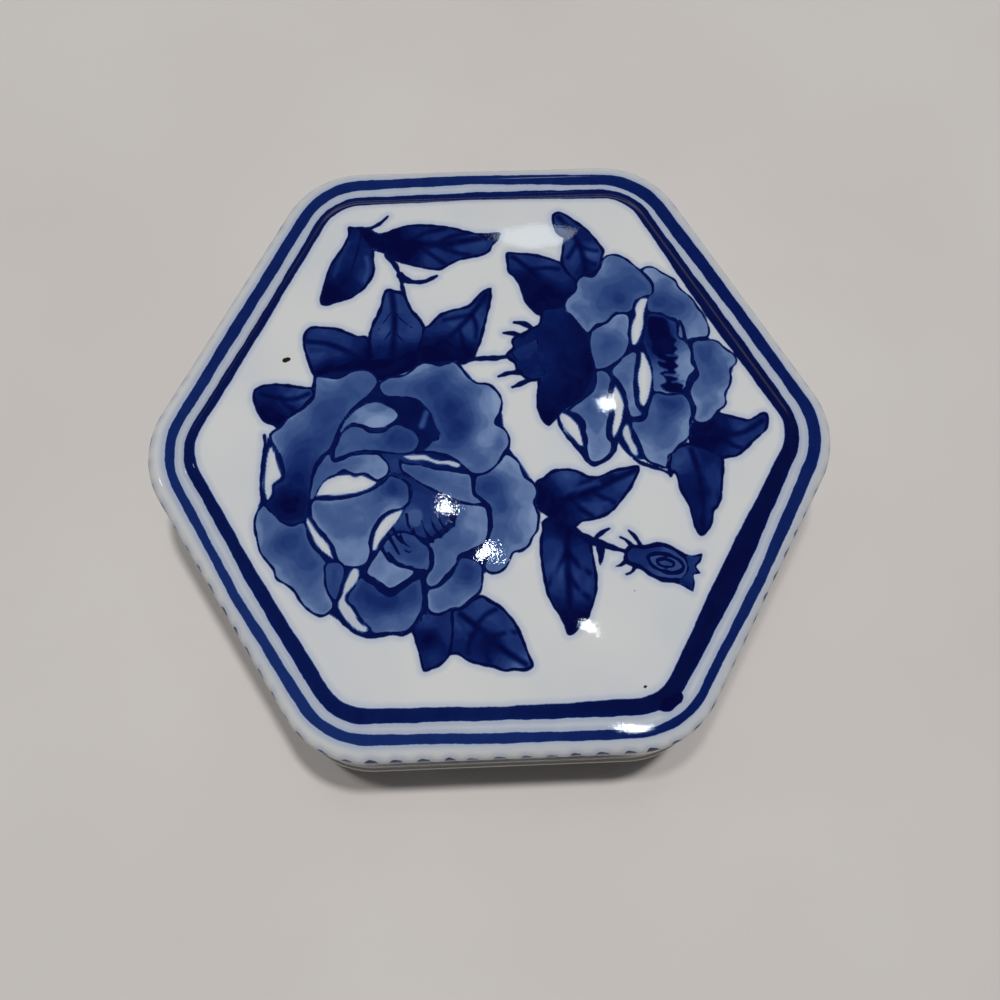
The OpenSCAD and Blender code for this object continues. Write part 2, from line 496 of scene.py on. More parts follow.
class Paint:
    """The paint on one surface. Lengths are in mm."""

    # Shares by which the brush presses harder and softer along a line, and their waves per mm
    swell, swell_rate = 0.15, 1.3
    shake, shake_rate = 0.1, 3.7
    # How late a line thins or widens towards its tip
    tip_power = 1.5
    ink_of_lines = 0.95
    # Width of a patch's darker or lighter rim, and how soft its edge is
    rim, edge = 0.9, 0.1
    # Levels that a wash pools in, the share of its tone that pools, and how soft each level's edge is
    levels, pooled, level_edge = 12, 0.6, (0.35, 0.65)
    # How much wider than high a speck is
    speck_stretch = 1.3

    def __init__(self, x: Array, y: Array) -> None:
        """Start with a bare surface.

        Args:
            x: The points' x on the surface, in mm.
            y: Their y, in mm.
        """
        self.x = x
        self.y = y
        self.wash = np.zeros_like(x)
        self.gap = np.full_like(x, FAR)
        self.ink = np.full_like(x, self.ink_of_lines)
        self.speck = np.full_like(x, FAR)

    @classmethod
    def over(cls, points: Array) -> Paint:
        """A bare surface over points given as rows of x, y and z."""
        return cls(points[:, 0].copy(), points[:, 1].copy())

    def near(self, path: Array) -> Array:
        """Numbers of the points that lie near a path."""
        low, high = path.min(axis=0) - FAR, path.max(axis=0) + FAR
        inside = (self.x > low[0]) & (self.x < high[0]) & (self.y > low[1]) & (self.y < high[1])
        return np.nonzero(inside)[0]

    @staticmethod
    def measure(x: Array, y: Array, path: Array) -> tuple[Array, ...]:
        """Measure points against a path.

        Args:
            x: The points' x.
            y: Their y.
            path: The path's points.

        Returns:
            The distance to the path, how far along it the nearest place is, and whether the point is inside.
        """
        best = np.full_like(x, math.inf)
        along = np.zeros_like(x)
        inside = np.zeros(x.shape, dtype=bool)
        travelled = 0.0
        for (ax, ay), (bx, by) in zip(path[:-1], path[1:]):
            dx, dy = bx - ax, by - ay
            length = math.hypot(dx, dy)
            if length < TINY:
                continue
            t = np.clip(((x - ax) * dx + (y - ay) * dy) / length ** 2, 0, 1)
            gap = (x - ax - t * dx) ** 2 + (y - ay - t * dy) ** 2
            closer = gap < best
            best[closer] = gap[closer]
            along[closer] = travelled + t[closer] * length
            if dy != 0:
                inside ^= ((ay > y) != (by > y)) & (x < ax + (y - ay) * dx / dy)
            travelled += length
        return np.sqrt(best), along, inside

    def pressure(self, along: Array, start: float) -> Array:
        """How hard the brush presses along a line, about 1."""
        slow = self.swell * np.sin(self.swell_rate * along + start)
        return 1 + slow + self.shake * np.sin(self.shake_rate * along + 2 * start)

    def ink_over(self, pick: Array, gap: Array, ink: Array | float) -> None:
        """Draw a line over what is there, where it is nearer than the lines before it."""
        nearer = gap < self.gap[pick]
        self.ink[pick] = np.where(nearer, ink, self.ink[pick])
        self.gap[pick] = np.minimum(self.gap[pick], gap)

    def lay(self, mark: Mark) -> None:
        """Paint one brush mark over what is there."""
        if isinstance(mark, Fill):
            self.fill(mark)
            return
        path = smooth_path(mark.path, closed=False)
        pick = self.near(path)
        gap, along, _ = self.measure(self.x[pick], self.y[pick], path)
        if isinstance(mark, Streak):
            cover = soft_step(gap, mark.width / 2 + mark.feather, mark.width / 2 - mark.feather)
            self.wash[pick] += (mark.tone - self.wash[pick]) * cover
            return
        share = along / max(along.max(), TINY)
        width = mark.width + (mark.tip - mark.width) * share ** self.tip_power
        half = width / 2 * self.pressure(along, mark.path[0])
        self.ink_over(pick, gap - half, mark.ink)

    def fill(self, mark: Fill) -> None:
        """Paint a patch of wash and its outline over what is there."""
        path = smooth_path(mark.outline, closed=True)
        pick = self.near(path)
        x, y = self.x[pick], self.y[pick]
        gap, along, inside = self.measure(x, y, path)
        depth = np.where(inside, gap, -gap)
        tone = mark.tones(x, y) + mark.edge * np.exp(-(gap / self.rim) ** 2)
        pools = tone * self.levels
        whole = np.floor(pools)
        pooled = (whole + soft_step(pools - whole, *self.level_edge)) / self.levels
        tone = (1 - self.pooled) * tone + self.pooled * pooled
        self.wash[pick] += (tone - self.wash[pick]) * soft_step(depth, -self.edge, self.edge)
        self.gap[pick] = np.maximum(self.gap[pick], np.minimum(depth, FAR))
        if mark.line > 0:
            half = mark.line / 2 * self.pressure(along, mark.outline[0])
            self.ink_over(pick, gap - half, mark.ink)

    def band(self, level: Array, low: Array | float, high: Array | float, ink: Array | float) -> None:
        """Draw a line round the box between two levels, which may vary along it.

        Args:
            level: Level of each point, such as its height.
            low: Lower edge of the line, one for all points or one each.
            high: Upper edge of the line, likewise.
            ink: Tone of the line, one for all points or one each.
        """
        gap = np.minimum(np.maximum(low - level, level - high), FAR)
        self.ink_over(np.arange(len(self.x)), gap, ink)

    def dot(self, x: float, y: float, radius: float) -> None:
        """Leave a pinhole or a burnt speck in the glaze."""
        gap = np.hypot(self.x - x, (self.y - y) * self.speck_stretch) - radius
        self.speck = np.minimum(self.speck, gap)

    def join(self, other: Paint) -> None:
        """Add the paint of another reading of the same points."""
        self.wash = np.maximum(self.wash, other.wash)
        self.ink = np.where(other.gap < self.gap, other.ink, self.ink)
        self.gap = np.minimum(self.gap, other.gap)

    def write(self, piece: Object, bare: Array | float = 0.0) -> None:
        """Write the paint into a piece's mesh.

        Args:
            piece: The piece.
            bare: Where the piece has no glaze, from 0 to 1.
        """
        layers = {"wash": self.wash, "line_gap": self.gap, "line_ink": self.ink, "speck": self.speck,
                  "bare": np.broadcast_to(bare, self.x.shape)}
        for name, values in layers.items():
            note(piece, name, values)


# Two peonies with leaves and a bud, in the way that blue and white ware is commonly painted.
# Each list is painted in its order, the first mark lowest. Places are in mm from the middle of the lid.

LEAVES: tuple[Mark, ...] = (
    # Leaf up left
    Fill(0.9, (-17.4, 29.6, -16.6, 29.5, -15.4, 29.4, -15.1, 28.6, -14.6, 27.4, -14.4, 26, -14.4, 24.8,
        -14.3, 23.6, -14.4, 22.6, -14.9, 21.6, -15.6, 20.6, -16.5, 19.9, -17.6, 19.3, -19, 19, -20.2, 18.6,
        -21, 18.8, -21, 19.8, -20.6, 21.4, -20.3, 22.8, -19.9, 24, -19.2, 25.2, -18.4, 26.4, -17.7, 27.8,
        -17.4, 28.8), ((-19.8, 20.4, 1), (-18, 22, 0.98), (-15, 22, 0.68), (-15.6, 24.6, 0.8),
        (-19.2, 24, 0.8), (-16.6, 27.4, 0.84)), 0.45, 0.97, 0.03),
    Line(0.5, 0.35, (-15.8, 28.8, -16.4, 26, -17.3, 23, -18.8, 20.4)),
    Streak(0.5, (-15.2, 25, -15, 23.4, -15.5, 21.6), 0.6, 0.3),
    Streak(0.4, (-17.5, 27.4, -18.6, 25, -19.4, 22.6), 0.74, 0.3),
    # Leaf up right
    Fill(0.92, (-15.2, 28.2, -13.8, 28.3, -12.4, 28.6, -11, 29.2, -9.6, 29.6, -8, 29.6, -6, 29.4, -4, 29,
        -2.4, 28.4, -0.8, 28, 0.6, 27.9, 2, 27.9, 1.6, 27, 1, 26.2, 0.6, 25.4, -0.2, 24.9, -1.6, 24.6, -3,
        24.3, -4.2, 23.8, -5.2, 23.2, -6, 22.9, -7.4, 23.1, -8.8, 23.5, -10.2, 24, -11.4, 24.5, -12.4, 25.2,
        -13.2, 25.8, -14.4, 26.4), ((-1, 27, 0.64), (-2.6, 25.6, 0.68), (-5, 28.6, 0.7), (-8, 28.8, 0.78),
        (-12, 27.2, 1), (-9.4, 26, 1), (-6.6, 24.4, 0.72), (1.2, 27.2, 0.7),
        (-4.6, 26.8, 0.86)), 0.45, 0.97, 0.03),
    Streak(0.83, (-14, 27.3, -10, 27, -6, 26.6, -2, 27.1, 1.6, 27.7)),
    Streak(0.52, (-9, 26.9, -7, 25.2, -5.2, 23.7)),
    Streak(0.52, (-6, 26.6, -4, 25.4, -2, 24.9)),
    Streak(0.52, (-9.6, 27.1, -7.6, 28.4, -5, 29)),
    Streak(0.52, (-6, 26.8, -4, 27.8, -2, 28.2)),
    # Neck
    Fill(0.97, (-16.2, 29.4, -15, 29.4, -14, 28.6, -13, 28.2, -13.4, 26.2, -14.4, 26.2, -15,
        27), (), 0.3, 0.97),
    # Tendril
    Line(0.75, 0.3, (-15.4, 29.2, -14.4, 29.5, -13.4, 30.1, -12.4, 31.2)),
    # Stem
    Line(0.7, 0.5, (-12.6, 25.2, -11.7, 24, -11.1, 22.6, -10.8, 21.4, -10.6, 20.2, -10.4, 19.4)),
    # Twig
    Line(0.95, 0.4, (-10.9, 22.2, -10, 21.4, -8.8, 21.1, -7.6, 21.2, -6.8, 21.6, -6.2, 21.9)),
    # Leaf left of centre
    Fill(0.86, (-22.8, 15.2, -22.2, 15.5, -20.5, 15.3, -19, 15, -17.8, 14.4, -16.5, 13.8, -15.2, 13.5, -14.6,
        11, -14, 8, -15.2, 9, -16.2, 9.1, -17.3, 9, -18.2, 8.6, -19, 8.3, -20, 8.5, -21.2, 8.6, -21.8, 8.8,
        -22.1, 9.4, -22.5, 10.5, -22.9, 11.8, -23.2, 13, -23.2, 14.2), ((-20.4, 14.5, 0.64),
        (-18.4, 13.8, 0.66), (-21.7, 12, 0.62), (-19.6, 12.3, 0.72), (-16.4, 12.8, 0.8), (-17, 10, 1),
        (-20, 9.6, 1), (-15, 11.5, 0.97)), 0.45, 0.97, 0.03),
    Streak(0.5, (-22.2, 14.4, -20.4, 13.8, -18.6, 13.4), 0.72, 0.3),
    Streak(0.5, (-22.4, 12.4, -20.6, 12.2, -18.8, 11.6), 0.74, 0.3),
    Streak(0.6, (-22.8, 13.6, -20, 13, -17.4, 11.6, -15.4, 10)),
    # Middle leaf
    Fill(0.74, (-12.6, 20.1, -11.8, 19.9, -10.6, 19.5, -10.1, 18.4, -9.5, 17, -8.6, 15.8, -8, 14.4, -8.4,
        12.4, -9.2, 10.6, -11, 9.2, -13.2, 8.6, -14, 9.6, -14.8, 11.6, -14.9, 13.4, -14.5, 15.2, -13.8, 16.6,
        -13.3, 18, -13, 19.4), ((-12.7, 18.6, 0.6), (-13.4, 14.4, 0.6), (-10.7, 18, 0.66),
        (-9.6, 14.6, 0.62), (-12, 10, 1), (-10, 10.6, 0.98), (-13.2, 12, 0.8)), 0.5, 0.97, 0.03),
    Streak(0.68, (-12, 19.5, -11.7, 16, -11.9, 12.6, -12.2, 9.4)),
    Line(0.3, 0.25, (-11.8, 17.4, -12.8, 16, -13.8, 14.6)),
    Line(0.3, 0.25, (-11.8, 15, -12.8, 13.4, -14, 12)),
    Line(0.3, 0.25, (-11.7, 17, -10.6, 15.6, -9.4, 14.6)),
    Line(0.3, 0.25, (-11.8, 14.4, -10.8, 13, -9.4, 12)),
    # Leaf right of centre
    Fill(0.9, (-8, 14.4, -7.2, 14.9, -6.6, 15.6, -5.8, 16.3, -4.6, 16.8, -3.2, 17.1, -2.2, 17.4, -1.4, 18.2,
        -0.6, 19.2, 0.2, 19.7, 0.6, 19.8, 0.5, 18.6, 0.3, 17.4, 0, 16.2, -0.3, 15, -0.7, 13.6, -1.1, 12.2,
        -1.6, 11, -2, 10.3, -3.2, 9.6, -4.4, 9.9, -6.2, 9.6, -8, 10, -9.6, 9.4, -9, 11.4, -8.3, 13), (
        (-4, 15.8, 0.64), (-1.6, 16.3, 0.6), (-2.2, 14.2, 0.62), (-6.6, 15, 0.74), (-0.2, 18.4, 0.8),
        (-5.4, 12, 1), (-7, 10.6, 1), (-3, 11, 1)), 0.45, 0.97, 0.03),
    Streak(0.6, (0, 19, -1.8, 16.4, -4, 14, -6.6, 11.6)),
    Streak(0.45, (-2, 16.2, -3.6, 15.9, -5.4, 15.6)),
    Streak(0.45, (-1.8, 16, -1.4, 14.6, -1.5, 13)),
    Streak(0.45, (-3.6, 14.2, -3.2, 12.8, -3.2, 11.4)),
    # Stem between the flowers
    Line(0.75, 0.6, (-3, 9.9, -1, 10.1, 1, 10.1, 2.6, 10.3)),
    # Foot of the leaves
    Fill(1, (-21.6, 9.4, -19.6, 9.8, -17, 10.4, -14.6, 10.6, -12, 10.4, -9.4, 11, -7, 11.4, -5, 11, -4, 10.2,
        -4.4, 9.6, -7, 9.2, -9.6, 8.8, -12, 8, -14, 7.6, -16, 8.8, -19, 8.2, -21.4, 8.4)),
    # Small leaf
    Fill(0.8, (-29.4, 7.3, -28.5, 7.8, -27.2, 7.95, -26, 7.8, -24.5, 7.5, -23.2, 7.2, -22.2, 7, -22, 6.2,
        -22.6, 5.4, -23.5, 4.5, -24.5, 4, -25.3, 3.2, -25.9, 2.4, -26.3, 2.1, -26.8, 2.5, -27.6, 2.8, -28.3,
        3.3, -28.8, 4.2, -29.2, 5.2, -29.5, 6.3), ((-27.6, 4.6, 1), (-26.4, 3.4, 1), (-23.4, 6.2, 0.52),
        (-25, 6.6, 0.68), (-28, 6.9, 0.8), (-25, 4.8, 0.8)), 0.45, 0.97, 0.04),
    Streak(0.52, (-28.6, 6.8, -26.4, 6, -24.4, 5.8, -22.6, 6.4)),
    Streak(0.45, (-26.2, 6.2, -25.4, 5, -24.6, 4.4)),
    Line(0.5, 0.5, (-22, 7.2, -21.8, 9)),
    # Leaf low left
    Fill(0.95, (-10.2, -23.6, -9.2, -22.6, -8.6, -21.9, -7.4, -22.2, -6.4, -21.9, -5.4, -21.6, -5.3, -23,
        -5.5, -24.6, -5.8, -26.2, -6.4, -27.3, -7.2, -28, -8.2, -28.4, -9.1, -28.6, -9.4, -27.4, -9.7, -26,
        -10, -24.8), ((-8.5, -22.7, 0.68), (-8.4, -25, 1), (-6.1, -24.4, 0.72),
        (-8, -27.2, 0.78)), 0.4, 0.97),
    # Leaf low right
    Fill(0.9, (-5.5, -21.7, -4.6, -21.6, -3.6, -21, -2.6, -20.4, -1.9, -20.2, -1, -20.8, 0, -21.4, 1, -22.4,
        1.8, -23.5, 2.4, -24.8, 2.9, -26.2, 3.4, -27.6, 3.7, -28.6, 2.8, -29, 1.6, -28.9, 0.4, -29, -0.8,
        -28.5, -2, -28.2, -3.2, -27.9, -4.2, -27.4, -5, -26.8, -6, -26.8, -5.6, -24.5), ((-1.2, -21.5, 0.62),
        (0.8, -23.2, 0.66), (1.4, -24.7, 0.6), (-4.2, -23.4, 0.62), (1.6, -26.8, 0.7), (2.4, -28.5, 0.34),
        (-1, -25.6, 1), (-3.4, -25, 0.86)), 0.45, 0.97, 0.03),
    Streak(0.68, (-4.6, -22.2, -2.4, -24, 0.4, -26.6, 3, -28.4)),
    Streak(0.45, (-2.8, -23.7, -1.6, -22.4, -0.4, -21.8)),
    Streak(0.45, (-1, -25.2, 0.6, -24.6, 1.8, -24.6)),
    Streak(0.45, (-2.6, -24, -3.6, -25.4, -3.8, -26.8)),
    Streak(0.45, (-1, -25.4, -1.6, -26.8, -1.4, -28)),
    Streak(0.5, (0.2, -23, 0.9, -24.2, 1.5, -25.6), 0.68),
    Streak(0.4, (-4.8, -22.8, -4.2, -24, -4, -25.2), 0.75, 0.3),
    # Leaf right of the peony
    Fill(0.9, (5.3, -6.3, 6.2, -5.9, 7, -5.2, 8, -4.9, 9.4, -4.9, 10.4, -5.2, 11.4, -5.8, 12.6, -6, 13.8,
        -5.6, 15, -5.1, 16.4, -4.9, 17.8, -4.7, 17.8, -5.2, 17.2, -6.4, 16.6, -7.4, 15.8, -8.4, 15, -9.4, 14,
        -10.3, 12.8, -10.9, 11.6, -11.2, 10.4, -11.4, 9.2, -12.2, 8, -11.6, 7, -11, 5.8, -10, 5, -9, 5.2,
        -7.8), ((9, -5.4, 0.58), (9.8, -7.4, 0.66), (13.2, -7.4, 0.76), (12, -9.8, 0.64), (15.6, -6.5, 0.66),
        (17.2, -5, 0.5), (6.5, -8, 1), (8, -10, 1), (11, -8.4, 0.92)), 0.45, 0.97, 0.03),
    Streak(0.75, (5.6, -9, 9, -8.6, 12, -7.6, 15, -6.2, 17.4, -5.1)),
    Streak(0.52, (9, -8.4, 10.4, -7, 11.8, -6.4)),
    Streak(0.52, (12, -7.4, 13.2, -6.4, 14.6, -5.8)),
    Streak(0.52, (9.4, -8.8, 10.6, -10, 11.8, -10.8)),
    Streak(0.52, (12, -7.8, 13.4, -8.6, 14.6, -9.2)),
    Streak(0.55, (9.4, -7.5, 11.4, -6.9, 12.8, -6.7), 0.64, 0.4),
    Streak(0.45, (10.8, -9.3, 12.4, -9.5, 13.8, -9.2), 0.68, 0.3),
    # Leaf below the peony
    Fill(0.92, (5.8, -11.4, 7, -11, 8.8, -11.8, 10, -13, 11.2, -13.8, 11.4, -14.8, 11.6, -16.4, 11.8, -18.2,
        11.7, -19.8, 11.4, -21, 10.9, -22.2, 10.4, -23.2, 9.4, -24.2, 8.8, -24.9, 8.2, -25, 7.9, -24, 7.4,
        -22.8, 6.6, -21.6, 6, -20.2, 5.7, -18.6, 5.5, -17, 5.4, -15.2, 5.5, -13.4, 5.8, -12.2), (
        (7.1, -17.6, 0.6), (7, -14.4, 0.72), (10.4, -15.4, 0.76), (10.2, -19, 0.66), (8.8, -23.5, 1),
        (8.2, -12.6, 1)), 0.45, 0.97, 0.03),
    Streak(0.75, (8.6, -12, 8.5, -16, 8.5, -20, 8.4, -24)),
    Streak(0.52, (8.5, -15, 9.6, -16.6, 11, -17.8)),
    Streak(0.52, (8.5, -18, 9.6, -19.6, 10.8, -20.8)),
    Streak(0.52, (8.5, -15.4, 7.2, -17, 6.2, -19)),
    Streak(0.7, (7.5, -15, 6.9, -17, 6.7, -19.6), 0.66, 0.5),
    Streak(0.5, (10.2, -16, 10.3, -18, 10, -20), 0.74, 0.4),
    # Bud stem
    Line(1.2, 0.6, (9, -12.4, 10.4, -13.2, 11.6, -13.9, 13, -14.4, 14.4, -14.9, 15.6, -15.3), 0.95),
    # Thorns
    Line(0.65, 0.3, (12.2, -13.4, 13, -12.8, 13.8, -12.4), 0.95),
    Line(1, 0.3, (12.5, -14.5, 12.6, -15.6, 12.4, -16.8), 0.95),
    # Bud
    Fill(0.62, (15.8, -15.2, 16.4, -14.7, 17.6, -14.8, 18.6, -14.7, 19.8, -14.5, 21, -14.8, 22, -15.4, 23,
        -16.2, 23.6, -16.9, 23.5, -18, 23, -18.7, 22, -18.9, 20.8, -18.9, 19.6, -18.7, 18.4, -18.1, 17.4,
        -17.3, 16.4, -16.9, 15.6, -16.4), ((22, -17, 0.55), (17, -15.8, 0.75)), 0.6, 0.97),
    # Bud heart
    Fill(0.55, (18.3, -15.9, 19.4, -15.6, 20.8, -15.8, 22, -16.4, 22.6, -17.2, 22.2, -17.8, 21, -18, 19.6,
        -17.6, 18.6, -16.9), (), 0.55, 0.97),
    # Bud eye
    Fill(0.6, (19.4, -16.4, 20.4, -16.3, 21.4, -16.8, 21.3, -17.2, 20.2, -17.2, 19.5,
        -16.9), (), 0.45, 0.97),
    # Bud tail
    Fill(0.92, (22.8, -15.8, 23.8, -16, 24.9, -15.8, 24.6, -16.6, 24, -17.2, 24.5, -18, 23.7, -18.2, 23.7,
        -19.2, 23.5, -20.2, 22.6, -19.6, 21.6, -19.2, 22.4, -18.6, 23.1, -17.6, 23, -16.6), (
        (24.2, -16.6, 0.7),), 0.3, 0.97),
    # Spikes
    Line(0.65, 0.3, (17.4, -14.4, 16.8, -13.4, 16.1, -12.7), 0.95),
    Line(0.65, 0.3, (16.3, -14.5, 15.6, -13.8, 15, -13.5), 0.95),
    Line(0.6, 0.3, (15.6, -16.4, 15, -16.9, 14.3, -17.1), 0.95),
    Line(0.6, 0.3, (16.6, -17.2, 16.2, -17.8, 15.5, -18.1), 0.95),
    # Leaf over the calyx, left
    Fill(0.86, (3, 24.9, 4.6, 24.8, 6.2, 24.6, 7.6, 24.2, 8.6, 23.8, 9.8, 23.2, 10.4, 22, 11.2, 21.2, 11.6,
        20.2, 11.5, 19.3, 10.6, 18.8, 10.1, 18, 9.9, 17, 9, 16.6, 7.4, 16.8, 6.6, 16, 6, 16.6, 5.4, 17.2,
        4.9, 18.2, 4.7, 19.4, 4.4, 20.4, 3.8, 21.4, 3.1, 22.2, 3, 23.4), ((4.6, 24, 0.68), (8.2, 23.2, 0.64),
        (9.4, 21.6, 0.74), (5.6, 20.6, 0.98), (7.5, 19.5, 1), (8.4, 18, 1)), 0.45, 0.97, 0.03),
    Streak(0.6, (3.6, 24.4, 5.6, 22.6, 7.4, 20, 8.4, 17.4)),
    Streak(0.52, (5.8, 22.4, 7.6, 22.6, 9.4, 22.4)),
    # Leaf over the flower, right
    Fill(0.88, (9.3, 30.6, 10, 31, 10.8, 30.6, 11.6, 29.9, 12.6, 29, 13.6, 28, 14.4, 26.8, 15, 25.8, 15.4,
        25, 15.2, 24.2, 14.8, 22.8, 14.2, 21.9, 13.4, 21.4, 12.2, 21.3, 11.6, 20.6, 11, 21.4, 10.2, 22.6, 10,
        23.8, 10.2, 25, 10.4, 26.2, 10.7, 27.2, 10.1, 27.4, 9.6, 28, 9.3, 29, 9.2, 30), ((10.5, 29.4, 0.66),
        (11, 26, 0.62), (11.2, 23.4, 0.68), (14, 24.6, 0.56), (13, 27.2, 0.84),
        (13, 22.6, 0.9)), 0.45, 0.97, 0.03),
    Streak(0.6, (10, 30.2, 11.6, 27.8, 12.6, 25, 13, 22)),
    Streak(0.45, (12.2, 26.4, 11.4, 25, 10.8, 24)),
    Streak(0.45, (12.4, 25.8, 13.6, 25.2, 14.6, 25)),
    Streak(0.45, (12.8, 24, 13.6, 23.2, 14.2, 23)),
    # Leaf right
    Fill(0.9, (25.2, 0.8, 26.4, 0.7, 27.4, 1.2, 28, 2.1, 29, 2, 30, 1.7, 31.2, 1.4, 32.2, 1.2, 33.2, 1.6, 34,
        2.1, 34.6, 2.1, 34.7, 1.2, 34.4, 0.2, 33.6, -0.6, 32.6, -1.4, 31.8, -2.2, 31, -2.9, 30.2, -3.4, 29.2,
        -3.5, 28.4, -3.7, 27.4, -3.6, 26.4, -3, 25, -2.4, 24.6, -1.2, 24.8, 0), ((31.5, 0.1, 0.66),
        (30.6, -2.2, 0.66), (29, -0.6, 1), (27, -1.4, 1), (33.6, 1, 0.74)), 0.45, 0.97, 0.03),
    Streak(0.6, (25.4, -0.6, 28.4, -0.6, 31.4, -0.4, 34, 1.2)),
    Streak(0.45, (28.6, -0.7, 29.8, -2, 31, -2.4)),
    # Leaf right, lower
    Fill(0.95, (22.2, -3.1, 23.2, -2.3, 24.4, -1.9, 26, -2.4, 27.4, -3, 28.4, -3.8, 28.4, -5, 28.2, -6.4, 28,
        -7.8, 27.8, -8.8, 27.3, -9.8, 26.8, -10.2, 26.6, -11.2, 26.3, -12.2, 25.6, -13, 25, -13.3, 24.5,
        -12.4, 24.2, -11.2, 24, -10, 23.6, -8.9, 23.1, -8, 22.8, -6.8, 22.6, -5.8, 22.2, -5.3, 21.8, -5.9,
        21.7, -5, 21.9, -4), ((22.8, -4, 0.6), (27.2, -6.6, 0.72), (27, -9.4, 0.76), (24.4, -7, 0.86),
        (25.4, -8, 1)), 0.45, 0.97, 0.02),
    Streak(0.6, (24.6, -2.6, 25.4, -6, 25.6, -9.4, 25.2, -12.6)),
    Streak(0.4, (27.4, -4.6, 27.3, -6.8, 26.9, -9), 0.76, 0.3),
    # Calyx
    Fill(1, (7.2, 16.6, 8.6, 16.8, 9.8, 17, 10.4, 16, 11.2, 15, 12, 13.8, 12.6, 12.8, 12.8, 11.4, 13, 10,
        13.2, 8.8, 13.2, 7.4, 13.2, 6.2, 12.8, 5.2, 12, 4.6, 10.8, 4, 9.8, 3.4, 9, 2.7, 8.4, 2.2, 7.8, 1.7,
        7.1, 1, 6.5, 1.6, 6, 3, 5.9, 4.6, 6.1, 6, 6.2, 7.1, 5.2, 7, 4.2, 7.6, 3.5, 8.5, 3.3, 9.4, 2.5, 10.1,
        2.4, 10.6, 3.2, 11.4, 3.1, 12.4, 3.8, 13, 4.8, 13.4, 5.6, 14, 6.4, 14.3, 6.9, 15.2), (
        (4.4, 10.4, 0.8), (5.4, 9.4, 0.8), (8, 16, 0.85)), 0.45, 0.98),
    # Calyx, lighter left part
    Fill(0.59, (3, 10.9, 4.2, 11.6, 5.4, 12.2, 6.2, 12.8, 6.3, 11, 6.4, 9.4, 7, 7.8, 6.2, 7.6, 5.2, 8.3, 4.2,
        9.2, 3.4, 10), ((6, 9, 0.8),), 0.25, 0.97, 0.04),
    # Spikes
    Line(0.85, 0.35, (5.5, 14.2, 4.4, 14.8, 3.4, 14.9), 0.95),
    Line(0.9, 0.35, (4.4, 13, 3.2, 13.4, 2, 13.5), 0.95),
    Line(0.9, 0.35, (3.8, 8.1, 2.4, 8, 1.1, 7.6), 0.95),
    Line(0.85, 0.35, (4.9, 7, 3.8, 6.5, 2.8, 6.1), 0.95),
)
